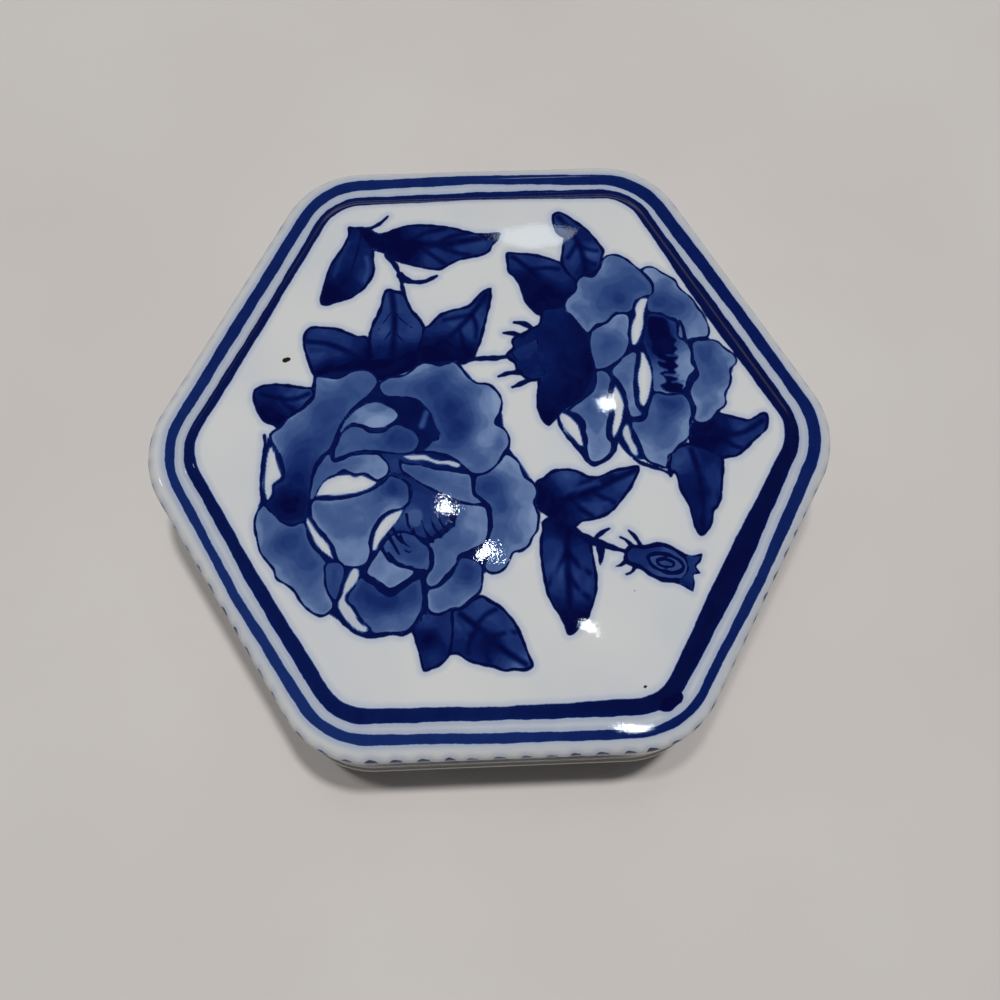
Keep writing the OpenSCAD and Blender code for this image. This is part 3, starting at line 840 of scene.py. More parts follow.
RIGHT_FLOWER: tuple[Mark, ...] = (
    # Ground under the petals
    Fill(0.9, (10.6, 17, 12.2, 20.6, 14.6, 21.8, 16.6, 24, 19, 22.6, 21, 22.3, 24, 20.8, 26.6, 17.8, 28.2,
        14.6, 28.1, 12.8, 30.4, 10.8, 31.2, 9.2, 30.4, 7, 29.4, 3.8, 27.4, 1.6, 25.2, 1.2, 24.4, -1, 21.8,
        -3.2, 21.4, -4.7, 19, -3.9, 17, -3.4, 15.5, -1.4, 14.2, -3.5, 12, -4, 9.6, -0.6, 8.4, 2, 11, 4.2, 13,
        7.6, 12.6, 12)),
    # Back petal
    Fill(0.53, (20.3, 22.2, 21, 22.7, 22, 22.6, 22.8, 22, 23.8, 21.4, 24.6, 20.8, 25, 19.8, 25.8, 19, 26.6,
        18.2, 27.2, 17, 27.8, 16, 28.2, 15, 28.4, 13.8, 28.1, 12.8, 27.2, 12.6, 26.2, 12.5, 25, 12.2, 24.3,
        12.7, 24.2, 13.6, 24.5, 14.6, 24, 15.3, 23.2, 15.5, 22.4, 16, 21.4, 16, 20.6, 16.4, 20.6, 17.4, 20.8,
        18.3, 21.3, 19, 21.6, 20.2, 21, 21.3), ((22, 17.5, 0.68), (23.6, 17, 0.63), (21.5, 22, 0.35),
        (27, 14, 0.35), (24.6, 20, 0.43)), 0.32, 0.93, -0.08),
    # Outer right petal
    Fill(0.53, (26.1, 12, 27.4, 12.3, 29.2, 12.2, 30.2, 11.2, 31.4, 10.2, 31.5, 9.2, 30.6, 8.2, 30.6, 7,
        30.2, 5.8, 29.6, 4.8, 29.5, 3.4, 28.4, 2.4, 27.4, 1.3, 26, 0.9, 25.3, 1.4, 25.6, 3, 25.1, 4.6, 25.4,
        6, 26.4, 7.4, 26.1, 9, 25.9, 10.6), ((27.4, 10.6, 0.6), (28, 8, 0.55), (30, 9.8, 0.4),
        (27, 3.4, 0.4), (29, 4.6, 0.4)), 0.32, 0.93, -0.08),
    # Stamen petal
    Fill(0.35, (20.8, 16, 22, 15.9, 23.2, 15.3, 24.1, 14.8, 24.3, 13.6, 24.2, 12.8, 24.9, 12.2, 25.6, 11.4,
        25.8, 10.2, 25.7, 9, 26.1, 8.2, 25.2, 7.2, 24.8, 6.2, 24.6, 5.6, 23.6, 4.9, 22.4, 4.7, 21.2, 4.9,
        20.4, 5.2, 20.5, 7.2, 20.4, 9, 20, 10.4, 19.7, 11.6, 19.9, 13, 20.2, 14.6), ((21.6, 12, 0.9),
        (21.2, 14.4, 0.85), (24.6, 9, 0.3)), 0.32, 0.93, -0.03),
    # Stamens
    Fill(0.98, (20.6, 15.3, 21.6, 15.5, 22.8, 15.2, 23.2, 14.2, 23.3, 13, 24, 12.2, 23.6, 11.6, 24, 11, 23.5,
        10.4, 24, 9.8, 23.5, 9.2, 23.9, 8.6, 23.3, 8.1, 23.6, 7.7, 23, 7.2, 23.8, 6.9, 23.4, 6.4, 24.3, 6,
        24.2, 5.4, 24.6, 4.9, 23.4, 4.9, 22, 5.2, 21.4, 6, 22.2, 6.4, 22, 7.1, 21.4, 7.6, 22.3, 8, 21.4, 8.8,
        21.4, 9.8, 20.7, 10.6, 20.8, 11.8, 20.5, 13)),
    # Gap between stamens
    Streak(0.3, (21.3, 8.4, 22.4, 8), 0.5, 0.15),
    Streak(0.25, (21.4, 9.5, 22.2, 9.2), 0.55, 0.15),
    Streak(0.3, (22.1, 7.4, 23.8, 7.3), 0.5, 0.15),
    Streak(0.25, (23, 6.4, 24.4, 6.5), 0.5, 0.15),
    Streak(0.25, (22.6, 10.1, 23.9, 10), 0.6, 0.15),
    Line(0.4, 0.5, (24.7, 15, 25, 14, 25.1, 12.6)),
    # Upper petal
    Fill(0.53, (10, 16.6, 10.3, 18.1, 11.4, 19.2, 11.8, 20.7, 12.6, 21.3, 13.8, 21.2, 14.8, 22.5, 15.6, 24,
        16.6, 24.4, 18, 24, 19.4, 22.8, 20.4, 21.7, 21.4, 20.3, 21.4, 18.8, 20.4, 18.4, 19.2, 17.7, 18.6,
        16.4, 17.6, 15.9, 16.4, 16, 15.2, 14.7, 13.8, 14.3, 12.7, 13.1, 11.8, 14.1, 10.9, 15.5), (
        (17, 18, 0.65), (15, 17.2, 0.58), (12, 18, 0.38), (16, 22.4, 0.43), (12.4, 15.4, 0.4),
        (19.6, 19.6, 0.58)), 0.35, 0.93, -0.08),
    # Inner petal
    Fill(0.49, (13.3, 13.6, 14.4, 14.3, 15.4, 14.8, 16.4, 15.8, 17.9, 15.9, 18.2, 14.8, 17.9, 13.2, 17.9,
        11.7, 17.2, 10.2, 16, 9.2, 14.8, 8.4, 13.4, 8.2, 13.1, 9.6, 12.8, 11.2, 12.9, 12.7), ((17, 15, 0.35),
        (14.6, 11, 0.55)), 0.35, 0.93, -0.08),
    # Narrow petal
    Fill(0.45, (16.4, 9.2, 17.2, 10, 18.2, 10.6, 18.8, 10.4, 18.6, 9.2, 18.3, 7.8, 18.1, 6.2, 18.1, 4.6,
        18.2, 3.4, 18.7, 2.4, 18.9, 1.9, 18.2, 1.7, 17.4, 1.8, 17.1, 2.6, 17, 4.2, 16.7, 5.4, 16.1, 6.6,
        15.4, 7.6, 15.6, 8.4), ((17.6, 4, 0.38),), 0.32, 0.93, -0.03),
    # Lower petal
    Fill(0.53, (17.4, 1.2, 18.4, 1.2, 19.2, 1.6, 19.5, 2.6, 19.9, 3.6, 20.3, 4.6, 21, 5, 22.2, 4.7, 23.4,
        4.8, 24.2, 4.7, 24.8, 4, 25.1, 3, 25.1, 2, 24.8, 1.1, 24.7, 0, 24.5, -0.9, 23.8, -1.6, 23, -2.2,
        22.3, -3, 21.7, -3.4, 21.6, -4.2, 21.3, -4.9, 20.4, -4.6, 19.4, -4.2, 18.8, -3.6, 18.5, -2.6, 18.1,
        -1.4, 17.7, -0.4, 17.4, 0.4), ((22, 4, 0.7), (20.6, 2.4, 0.55), (20, -3, 0.38),
        (24, 0, 0.38)), 0.35, 0.93, -0.09),
    Line(0.55, 0.4, (17.4, -3.6, 18.2, -4.2, 19.5, -4.7, 20.6, -5.1, 21.8, -5.7)),
    # Left petal
    Fill(0.48, (13.4, 8, 14.6, 8, 15.2, 7, 15, 5.8, 14.7, 4.4, 14.9, 3.2, 14.7, 2, 14.4, 1, 14.3, 0, 14.4,
        -1, 14.8, -1.6, 14.7, -2.4, 14.2, -3.2, 13.4, -3.8, 12.4, -4.1, 11.8, -3.6, 11.6, -2.4, 11.7, -1.2,
        11.5, 0, 11.5, 1.2, 11, 2, 10.2, 2.5, 9.6, 2.8, 10.4, 3.5, 11.4, 4.2, 12.4, 4.9, 13.1, 5.8, 13.3,
        7), ((12.5, -2.5, 0.35), (14, 6.4, 0.53)), 0.35, 0.93, -0.08),
    # White folds
    Fill(0.02, (20.7, 18.1, 20, 18.1, 19.3, 17.4, 19, 16.6, 19, 15.6, 18.6, 14.8, 18.3, 13.8, 18.2, 12.6,
        18.3, 11.6, 18.7, 11.6, 19.2, 12.4, 19.6, 13.4, 19.9, 14.4, 20, 15.6, 20.3, 16.8, 20.6, 17.6)),
    Fill(0.02, (19.3, 10.5, 19.2, 9.6, 19, 8.6, 18.7, 7.6, 18.6, 6.4, 18.7, 5.2, 18.6, 4.2, 18.8, 3.4, 19.1,
        3.2, 19.5, 3.8, 19.9, 4.8, 20.2, 6, 20.4, 7.2, 20.3, 8.4, 20, 9.4, 19.6, 10.4)),
    Fill(0.02, (8.8, 2.5, 8.5, 1.9, 8.7, 1.2, 9, 0.5, 9.6, -0.3, 10.2, -1, 10.7, -1.7, 11.2, -1.9, 11.1, -1,
        10.9, 0, 10.7, 0.8, 10.2, 1.5, 9.6, 2.1)),
    Line(0.45, 0.45, (8.3, 1.8, 8.6, 0.6, 9.3, -0.6, 10, -1.5, 10.7, -2.4, 11.2, -3.2, 11.7, -4, 12.4, -4.4,
        13.2, -4.1, 14.2, -3.5, 15, -2.7, 15.3, -1.9, 15.5, -1.3)),
    # White folds
    Fill(0.02, (15.7, 6, 15.4, 5.2, 15.1, 4.4, 15.2, 3.4, 15.4, 2.4, 15.2, 1.4, 15, 0.6, 14.9, -0.2, 15,
        -0.9, 15.4, -0.4, 15.8, 0.4, 16.2, 1.4, 16.4, 2.4, 16.6, 3.4, 16.4, 4.4, 16.1, 5.2)),
    Fill(0.06, (16.8, 0.9, 16.4, 0.4, 16.2, -0.3, 16.4, -1.2, 16.8, -2, 17.1, -2.8, 17.7, -3.4, 17.9, -3,
        17.8, -2.2, 17.4, -1.4, 17.2, -0.6, 17.1, 0.3)),
)
LEFT_FLOWER: tuple[Mark, ...] = (
    # Ground under the petals
    Fill(0.9, (-21.6, 8.6, -16, 9, -14, 7.4, -10.6, 8.2, -8.4, 9.7, -4.2, 9.6, -1.6, 6.8, 0.8, 5.7, 1.3, 3,
        1.5, 0.7, 2, -1.7, 3.3, -3.8, 4.9, -7, 5.1, -10.5, 4.8, -12.4, 2.2, -14.9, 0, -17.3, -1.6, -17.4,
        -2.2, -19.6, -4.6, -21.4, -8.4, -21.8, -10.4, -23.8, -13, -24.2, -16, -24.2, -18.4, -22.8, -20.4,
        -21.4, -22.9, -20.6, -24.6, -18.3, -27, -15.5, -29, -11.8, -29, -8.6, -28.3, -6, -28.2, -1, -27.4,
        1.2, -25, 3.3, -22, 5.8), ((-11.8, -3.6, 0.7),)),
    # Back petal, right
    Fill(0.55, (-13.8, 7, -12.6, 8, -10.6, 8.2, -9.5, 9, -8.4, 9.8, -7.2, 9.7, -6.2, 9.3, -5.2, 9.6, -4.2,
        9.7, -3.4, 8.8, -2.6, 7.6, -1.6, 6.8, -0.2, 6.6, 0.8, 5.7, 1.4, 4.4, 1.2, 3, 0.5, 1.4, 1.5, 0.7, 2.1,
        -0.5, 2, -1.7, 1.3, -2.6, 0.4, -4, -0.8, -4.9, -2.2, -5.1, -3.2, -4.5, -4.2, -3.6, -5.4, -2.7, -7,
        -2.2, -9.2, -2, -8.8, -0.8, -6.6, -0.4, -7, 1.4, -7.8, 3.4, -9.2, 4.9, -11.2, 5.3, -13.2, 5.7), (
        (-4, 1, 0.73), (-7, 6.4, 0.65), (-5, 3.4, 0.73), (0, 4, 0.3), (-1, -0.5, 0.33), (-8.5, 9, 0.4),
        (-3, 8.6, 0.43), (-2.6, -3.4, 0.48)), 0.35, 0.93, -0.09),
    # Far right petal
    Fill(0.48, (1.6, -2.6, 2.5, -3, 3.2, -3.8, 3.5, -4.8, 3.8, -5.6, 4.5, -6.1, 5.1, -6.9, 5.2, -7.8, 4.8,
        -8.8, 5, -9.6, 5.3, -10.5, 5.2, -11.4, 5, -12.4, 4.4, -13.2, 3.9, -14.2, 3, -14.8, 2, -15, 1.5, -16,
        0.9, -16.9, 0, -17.4, -1, -17.3, -1.5, -16.6, -1, -15.6, -1.2, -14, -0.8, -12.6, -0.6, -11, -0.5,
        -9.6, -0.9, -8.8, -1.8, -8, -2.4, -7.2, -2.3, -6.2, -2.1, -5.3, -1, -5, 0.2, -4.2, 1, -3.3), (
        (-0.6, -7, 0.68), (0.6, -9, 0.59), (0, -13, 0.53), (2.5, -4, 0.32), (3, -8, 0.35), (4, -11, 0.3),
        (2, -13.6, 0.4)), 0.35, 0.93, -0.08),
    # Back petal, left
    Fill(0.62, (-21.7, 8.7, -19.9, 8.4, -18.8, 8.3, -17.4, 9, -16, 9.2, -14.8, 8.9, -13.9, 7.6, -14.4, 6.6,
        -15.2, 5.7, -16.4, 4.7, -17.6, 3.5, -18.6, 2.1, -19.2, 0.6, -19.9, -1, -21.1, -2, -22, -3.7, -22.4,
        -6, -22.6, -8.2, -23, -9.9, -24.5, -10.3, -25.8, -9.9, -27, -8.7, -28, -7.4, -27, -6.7, -26.9, -5.3,
        -25.7, -4.6, -25.7, -3.2, -26.2, -1.4, -27.1, 0.2, -27.3, 1.3, -26.2, 2.1, -25, 3.4, -23.4, 4.4, -22,
        5.8, -21.8, 7.4), ((-25.4, -8, 1), (-24, -7.4, 0.98), (-24.2, -5, 0.83), (-23.4, -2, 0.73),
        (-20, 8, 0.43), (-24.5, 3.3, 0.43), (-26.8, 0.5, 0.43), (-20, 3, 0.63),
        (-16.4, 7.6, 0.53)), 0.35, 0.93, -0.08),
    # White fold
    Fill(0.02, (-27.3, -0.2, -26.9, -1, -26.6, -2, -26.3, -3, -26, -4.2, -26.5, -4.7, -27.1, -5.2, -27.1, -6,
        -27.4, -6.8, -27.7, -7.1, -28, -6, -28.05, -5, -28, -4, -27.9, -3, -27.8, -2, -27.6, -1)),
    Line(0.5, 0.45, (-28.1, 1.2, -28, 0, -28.1, -1, -28.3, -3, -28.5, -5, -28.3, -7.3)),
    # Low left petal
    Fill(0.53, (-28.2, -7.6, -29, -8.6, -29.3, -10, -29, -11.8, -28.6, -13.4, -27.8, -14.6, -27, -15.6,
        -26.6, -16.8, -25.6, -17.5, -24.5, -18.4, -23.8, -19.6, -22.9, -20.7, -21.5, -21.6, -20.4, -21.4,
        -19.7, -20.5, -20.3, -19, -20.7, -17.5, -20.5, -15.6, -21, -14.5, -22, -13.3, -22.7, -12, -23, -10.5,
        -23.3, -10.1, -24.6, -10.4, -25.8, -10, -26.9, -8.9), ((-25, -12.4, 0.68), (-23.4, -14, 0.6),
        (-28, -11, 0.4), (-26, -16, 0.4), (-22, -20, 0.43)), 0.35, 0.93, -0.09),
    # Heart of the flower
    Fill(0.86, (-15.6, 5, -13.8, 5.4, -11.5, 5.2, -9.6, 4.9, -8.3, 4.1, -7.4, 2.9, -6.9, 1.4, -6.4, 0.2,
        -7.2, -0.4, -8.2, -1.6, -9.3, -1.9, -8.9, -0.6, -9.2, 0.3, -10.8, 1.5, -11.8, 2.1, -11.4, 2.9, -12.2,
        4, -13.8, 4.9), ((-12, 3, 0.96),), 0.21, 0.95),
    Streak(0.7, (-8, 3.1, -8.6, 1.4), 0.55, 0.3),
    Line(0.5, 0.45, (-9.4, -2, -8, -2, -6.6, -2.3, -5.4, -2.7, -4.3, -3.4, -3.2, -4.5)),
    # Pale inner petal
    Fill(0.31, (-19.1, 0, -18.5, 1.9, -17.4, 3.3, -16.2, 4.3, -15, 4.8, -13.8, 4.8, -12.7, 4.2, -11.8, 3.6,
        -11.4, 2.9, -11.9, 2.2, -12.8, 1.6, -13.8, 1.3, -15, 1.4, -16.2, 1.9, -17.2, 2.1, -18.1, 1.5), (
        (-14, 4.2, 0.47), (-18, 2.2, 0.43), (-14, 2.4, 0.23)), 0.28, 0.93, -0.03),
    # Long inner petal
    Fill(0.61, (-19.4, -2.5, -19.5, -1.4, -19, -0.2, -18.5, 0.9, -17.6, 1.6, -16.6, 1.8, -15.8, 1.5, -15.2,
        1, -14.2, 0.8, -13.2, 0.9, -12.5, 1.5, -11.7, 1.8, -10.8, 1.5, -9.9, 1, -9.2, 0.3, -8.9, -0.6, -9.3,
        -1.6, -10.3, -2.1, -12.2, -2, -14, -1.7, -16, -1.5, -17.8, -1.9), ((-16, 0.4, 0.53),
        (-11, 0, 0.68)), 0.35, 0.93, -0.07),
    # Curled petal
    Fill(0.47, (-20.1, -1.4, -19.7, -2.4, -19.4, -2.7, -18.6, -2.5, -17.6, -2.1, -16.4, -1.9, -15.2, -1.9,
        -14, -2, -13.4, -2.6, -12.9, -3.2, -12.7, -4, -12.9, -4.6, -13.6, -5.2, -14.2, -5.4, -15, -4.9,
        -15.7, -4.4, -16.8, -4.5, -17.6, -4.2, -18.3, -3.9, -19.2, -4.4, -20.4, -4.9, -21.3, -6, -21.9, -7.4,
        -22.3, -8.2, -22.5, -7.2, -22.3, -5.6, -22, -4.2, -21.2, -2.8), ((-14.3, -4.8, 0.35),
        (-20.6, -4, 0.55)), 0.35, 0.93, -0.07),
    # Front petal
    Fill(0.45, (-22, -7.4, -20.6, -7.5, -18.8, -7.4, -17, -7.2, -15.3, -6.7, -14, -6, -13.2, -5.4, -12.6,
        -4.8, -11.6, -5.2, -10.6, -5.8, -10.3, -6.8, -10.4, -8.2, -11.2, -9, -12.8, -9.4, -14, -10.2, -14.8,
        -11.4, -15.2, -12.8, -15.1, -14.2, -15.4, -15.2, -16.2, -15.9, -17.4, -16, -18.5, -15.8, -19.2,
        -14.9, -19.6, -13.5, -20.6, -12, -21.6, -10.8, -22.3, -9.4, -22.4, -8.2), ((-12, -6.5, 0.73),
        (-12.5, -8.7, 0.4), (-17, -14, 0.35), (-20, -9, 0.43), (-16, -10, 0.45)), 0.35, 0.93, -0.08),
    # White crescent
    Fill(0.02, (-21.7, -7, -21.2, -5.9, -20.5, -5.1, -19.6, -4.7, -18.6, -4.5, -17.6, -4.5, -17, -4.8, -16,
        -4.7, -15.2, -5.1, -14.3, -5.6, -14.8, -6.1, -16, -6.6, -17.6, -6.9, -19.4, -7, -20.6, -6.9)),
    # White fold
    Fill(0.02, (-22.8, -9.5, -22.2, -10.5, -21.6, -11.5, -20.9, -12.3, -20.2, -13.2, -19.9, -14.2, -19.6,
        -14.9, -20.4, -14.3, -21.2, -13.6, -21.9, -12.6, -22.4, -11.4, -22.9, -10.2)),
    # Dark core
    Fill(0.85, (-12.6, -4.4, -10.4, -5, -9, -6, -7.4, -7, -5.6, -7.9, -4.2, -8.6, -4.6, -9.6, -5.6, -11, -7,
        -12.2, -8.4, -12.9, -9.6, -12.4, -11.6, -11.8, -13.2, -12.8, -13.9, -13.4, -12.8, -11.8, -11.6,
        -10.2, -10.9, -9.2, -10.2, -8.2, -10, -6.6, -10.8, -5.4), ((-10.2, -9.8, 0.6),
        (-7, -9.6, 0.7)), 0.21, 0.95),
    # Petal over the core
    Fill(0.47, (-11.4, -2.9, -11, -3.2, -10.4, -3.4, -9, -3.6, -8, -3.9, -7, -4.2, -5.6, -4.4, -4, -4.8,
        -2.9, -5, -2.6, -5.8, -2.6, -6.8, -2.5, -7.6, -1.9, -8.2, -1.3, -8.8, -2.6, -8.9, -4, -8.5, -5.5,
        -7.9, -6.8, -7.2, -8, -6.5, -9.2, -5.8, -10.2, -5, -11.2, -4.2), ((-9, -4.6, 0.53),
        (-4, -6.4, 0.43)), 0.35, 0.93, -0.07),
    # White fold
    Fill(0.06, (-11, -2.4, -10.2, -2.3, -9.2, -2.3, -8.2, -2.4, -7.4, -2.9, -6.4, -3.2, -5.4, -3.2, -4.6,
        -3.4, -4, -3.8, -4.2, -4.1, -4.9, -4, -5.6, -3.7, -6.8, -3.6, -7.8, -3.2, -8.6, -3, -9.6, -3, -10.4,
        -2.8)),
    # Right inner petal
    Fill(0.43, (-4.5, -8.6, -2.8, -8.9, -1.2, -9.2, -0.8, -10.2, -0.8, -11.6, -1, -12.8, -1.5, -13.8, -3.2,
        -14.6, -4.6, -15.2, -4.9, -16.2, -5.6, -17, -6.4, -17.8, -7.2, -18.6, -8.2, -18.8, -8.7, -18, -8.4,
        -17.2, -7.9, -16.6, -7.6, -15.5, -7.8, -14.3, -8.3, -13.5, -7.5, -13, -6, -12.2, -5, -11.2), (
        (-5.6, -10.6, 0.65), (-3, -11, 0.35), (-6.6, -16, 0.45)), 0.35, 0.93, -0.08),
    Line(0.5, 0.4, (-1.2, -9.1, -0.7, -9.8, -0.5, -11, -0.7, -12.4, -1.2, -13.6)),
    # Round petal under the stamens
    Fill(0.47, (-13.6, -13.5, -13.4, -14.5, -12.8, -15.2, -12, -15.9, -11, -16.2, -10.2, -16.3, -9.3, -17.1,
        -8.3, -16.8, -8, -16, -7.9, -15, -8.2, -14, -8.6, -13.2, -9.5, -12.5, -11.6, -12, -13, -12.6), (
        (-10, -13, 0.65),), 0.32, 0.93, -0.06),
    # Low middle petal
    Fill(0.43, (-15.7, -16.6, -15.2, -15.6, -14.5, -14.6, -13.9, -13.6, -13.6, -14.3, -13.1, -15.2, -12.2,
        -15.9, -11, -16.3, -10.1, -16.5, -9.9, -17, -10.6, -17.7, -11.6, -18.3, -12.5, -18.8, -13.2, -18.8,
        -13.9, -18.2, -14.8, -17.5, -15.4, -17.2), ((-12.5, -17.6, 0.35),), 0.35, 0.93, -0.07),
    # White fold
    Fill(0.02, (-11.2, -9.2, -12.2, -9.5, -13.2, -10, -13.9, -10.8, -14.5, -11.8, -14.8, -13, -14.9, -14,
        -14.5, -14, -14.1, -13.2, -13.5, -12.4, -12.8, -11.6, -12.1, -10.8, -11.5, -10)),
    # Low right petal
    Fill(0.53, (-8.4, -19.2, -7.4, -18.9, -6.4, -18.3, -5.4, -17.3, -4.8, -16.2, -4.2, -15.4, -3, -15.6,
        -1.9, -16.4, -1.8, -17.4, -1.9, -18.6, -2.2, -19.6, -3, -20.3, -4, -21, -4.7, -21.5, -5.6, -21.5,
        -6.3, -21.9, -7.2, -22.1, -8.2, -21.8, -8.5, -20.8), ((-4, -17, 0.68), (-7.4, -20.6, 0.43),
        (-4, -20.4, 0.43)), 0.35, 0.93, -0.08),
    # Front low petal
    Fill(0.55, (-16.5, -17.3, -17.2, -18.4, -17.9, -19.3, -18, -20.1, -17.2, -21, -16.5, -22.2, -15.5, -23.3,
        -15, -24.1, -13.5, -24.1, -12, -24.1, -10.9, -23.9, -10, -23, -9.3, -21.8, -9, -20.5, -9, -18.8,
        -9.2, -17.6, -10.5, -18, -12, -18.8, -13, -19.3, -13.8, -18.9, -14.8, -18, -15.8, -17.4), (
        (-13, -20, 0.8), (-14.6, -19.4, 0.73), (-10.4, -19.4, 0.68), (-13, -23.2, 0.43),
        (-10.4, -22.6, 0.45)), 0.35, 0.93, -0.08),
    # Small low petal
    Fill(0.65, (-20.6, -15.5, -19.2, -15.2, -18.3, -16, -18.4, -17, -18.7, -18, -19, -19, -19.4, -20.1,
        -20.2, -19.2, -20.6, -18, -20.7, -16.5), (), 0.35, 0.93, -0.07),
    # White fold
    Fill(0.06, (-17.3, -16.2, -16.7, -16.3, -16.6, -17, -16.9, -17.8, -17.6, -18.6, -18.2, -19.3, -18.3,
        -19.9, -18, -20.4, -17.5, -21, -17.1, -21.7, -16.7, -22.6, -16.2, -23, -15.7, -23.4, -15.8, -23.8,
        -16.4, -23.8, -17.2, -23.4, -18, -22.6, -18.6, -21.8, -19.1, -20.8, -19.1, -20.1, -18.7, -19.4,
        -18.4, -18.3, -18, -17.3)),
    Line(0.55, 0.5, (-19.7, -20.5, -19.4, -21.2, -18.9, -22, -18.3, -22.8, -17.6, -23.5, -16.8, -24, -16,
        -24.3, -15, -24.4, -14, -24.3, -13, -24.2, -12.3, -24.2, -11.5, -24.4, -10.8, -24, -10.2, -23.7)),
    Line(0.9, 0.7, (-15.8, -17.3, -14.4, -18.4, -13, -19.4, -11.2, -18.5, -9.5, -17.5)),
    Line(0.5, 0.5, (-8.9, -17.3, -8.7, -19.5, -8.7, -21.8)),
    # Lobe among the stamens
    Fill(0.5, (-10.6, -9.6, -9.8, -9.2, -9, -9.4, -8.8, -10.2, -9, -11, -9.6, -11.4, -10.3, -11, -10.6,
        -10.3)),
    # Stamens
    Line(0.4, 0.3, (-10.7, -9.8, -10.5, -11.2, -9.5, -12.7, -8.2, -13.8), 0.95),
    Line(0.3, 0.6, (-8.9, -10.6, -8.6, -11.8, -7.7, -13.2), 0.95),
    Line(0.3, 0.5, (-7.9, -10, -7.5, -11.4, -6.7, -12.7), 0.95),
    Line(0.3, 0.5, (-6.9, -9.8, -6.6, -11, -5.9, -12), 0.95),
    Line(0.9, 0.3, (-5.2, -9.8, -5.1, -10.8, -5, -11.5), 0.95),
    Line(0.4, 0.5, (-12.4, -11.4, -12, -12.4, -11.3, -13.2), 0.95),
    Line(0.5, 0.3, (-13, -12.2, -12.3, -13.6, -11.6, -14.9), 0.95),
    Line(0.35, 0.25, (-11.5, -12.4, -11.1, -13.3, -10.4, -13.9), 0.95),
    Line(0.3, 0.2, (-11, -14.2, -10.5, -14.5, -10.1, -14.2), 0.95),
    Line(0.3, 0.2, (-9.9, -11.6, -9.6, -12.6, -8.8, -13.6), 0.95),
    # Edge under the stamens
    Line(0.4, 0.5, (-13, -14.4, -12, -15.7, -10.4, -16.5, -8.7, -16.8)),
    Line(0.6, 0.5, (-7.9, -14.2, -7.9, -15.2, -7.8, -16.3)),
)


@dataclass(frozen=True)
class PeonySpray:
    """The spray on the panel."""

    marks: tuple[Mark, ...] = LEAVES + RIGHT_FLOWER + LEFT_FLOWER

    def paint(self, surface: Paint) -> None:
        """Paint the spray on a surface."""
        for mark in self.marks:
            surface.lay(mark)


# Materials

class Term:
    """A number that varies over a surface; Python's operators on it add Math nodes."""

    def __init__(self, nodes: Nodes, socket: Socket) -> None:
        """Wrap a socket that gives a number."""
        self.nodes = nodes
        self.socket = socket

    def maths(self, operation: str, first: Value, second: Value = 0.0) -> Term:
        """Add one Math node and wrap its result."""
        node = self.nodes.add("Math", {"operation": operation}, {0: first, 1: second})
        return Term(self.nodes, node.outputs[0])

    def __add__(self, other: Value) -> Term:
        """Sum."""
        return self.maths("ADD", self, other)

    __radd__ = __add__

    def __sub__(self, other: Value) -> Term:
        """Difference."""
        return self.maths("SUBTRACT", self, other)

    def __rsub__(self, other: Value) -> Term:
        """Difference from a number."""
        return self.maths("SUBTRACT", other, self)

    def __mul__(self, other: Value) -> Term:
        """Product."""
        return self.maths("MULTIPLY", self, other)

    __rmul__ = __mul__

    def most(self, other: Value) -> Term:
        """The larger of the two."""
        return self.maths("MAXIMUM", self, other)

    def step(self, low: float, high: float) -> Term:
        """Rise smoothly from 0 at low to 1 at high; low above high makes it fall."""
        settings = {"interpolation_type": "SMOOTHSTEP"}
        values = {"Value": self, "From Min": min(low, high), "From Max": max(low, high)}
        rise = Term(self.nodes, self.nodes.add("MapRange", settings, values).outputs[0])
        return rise if low < high else 1 - rise


Value = Term | float


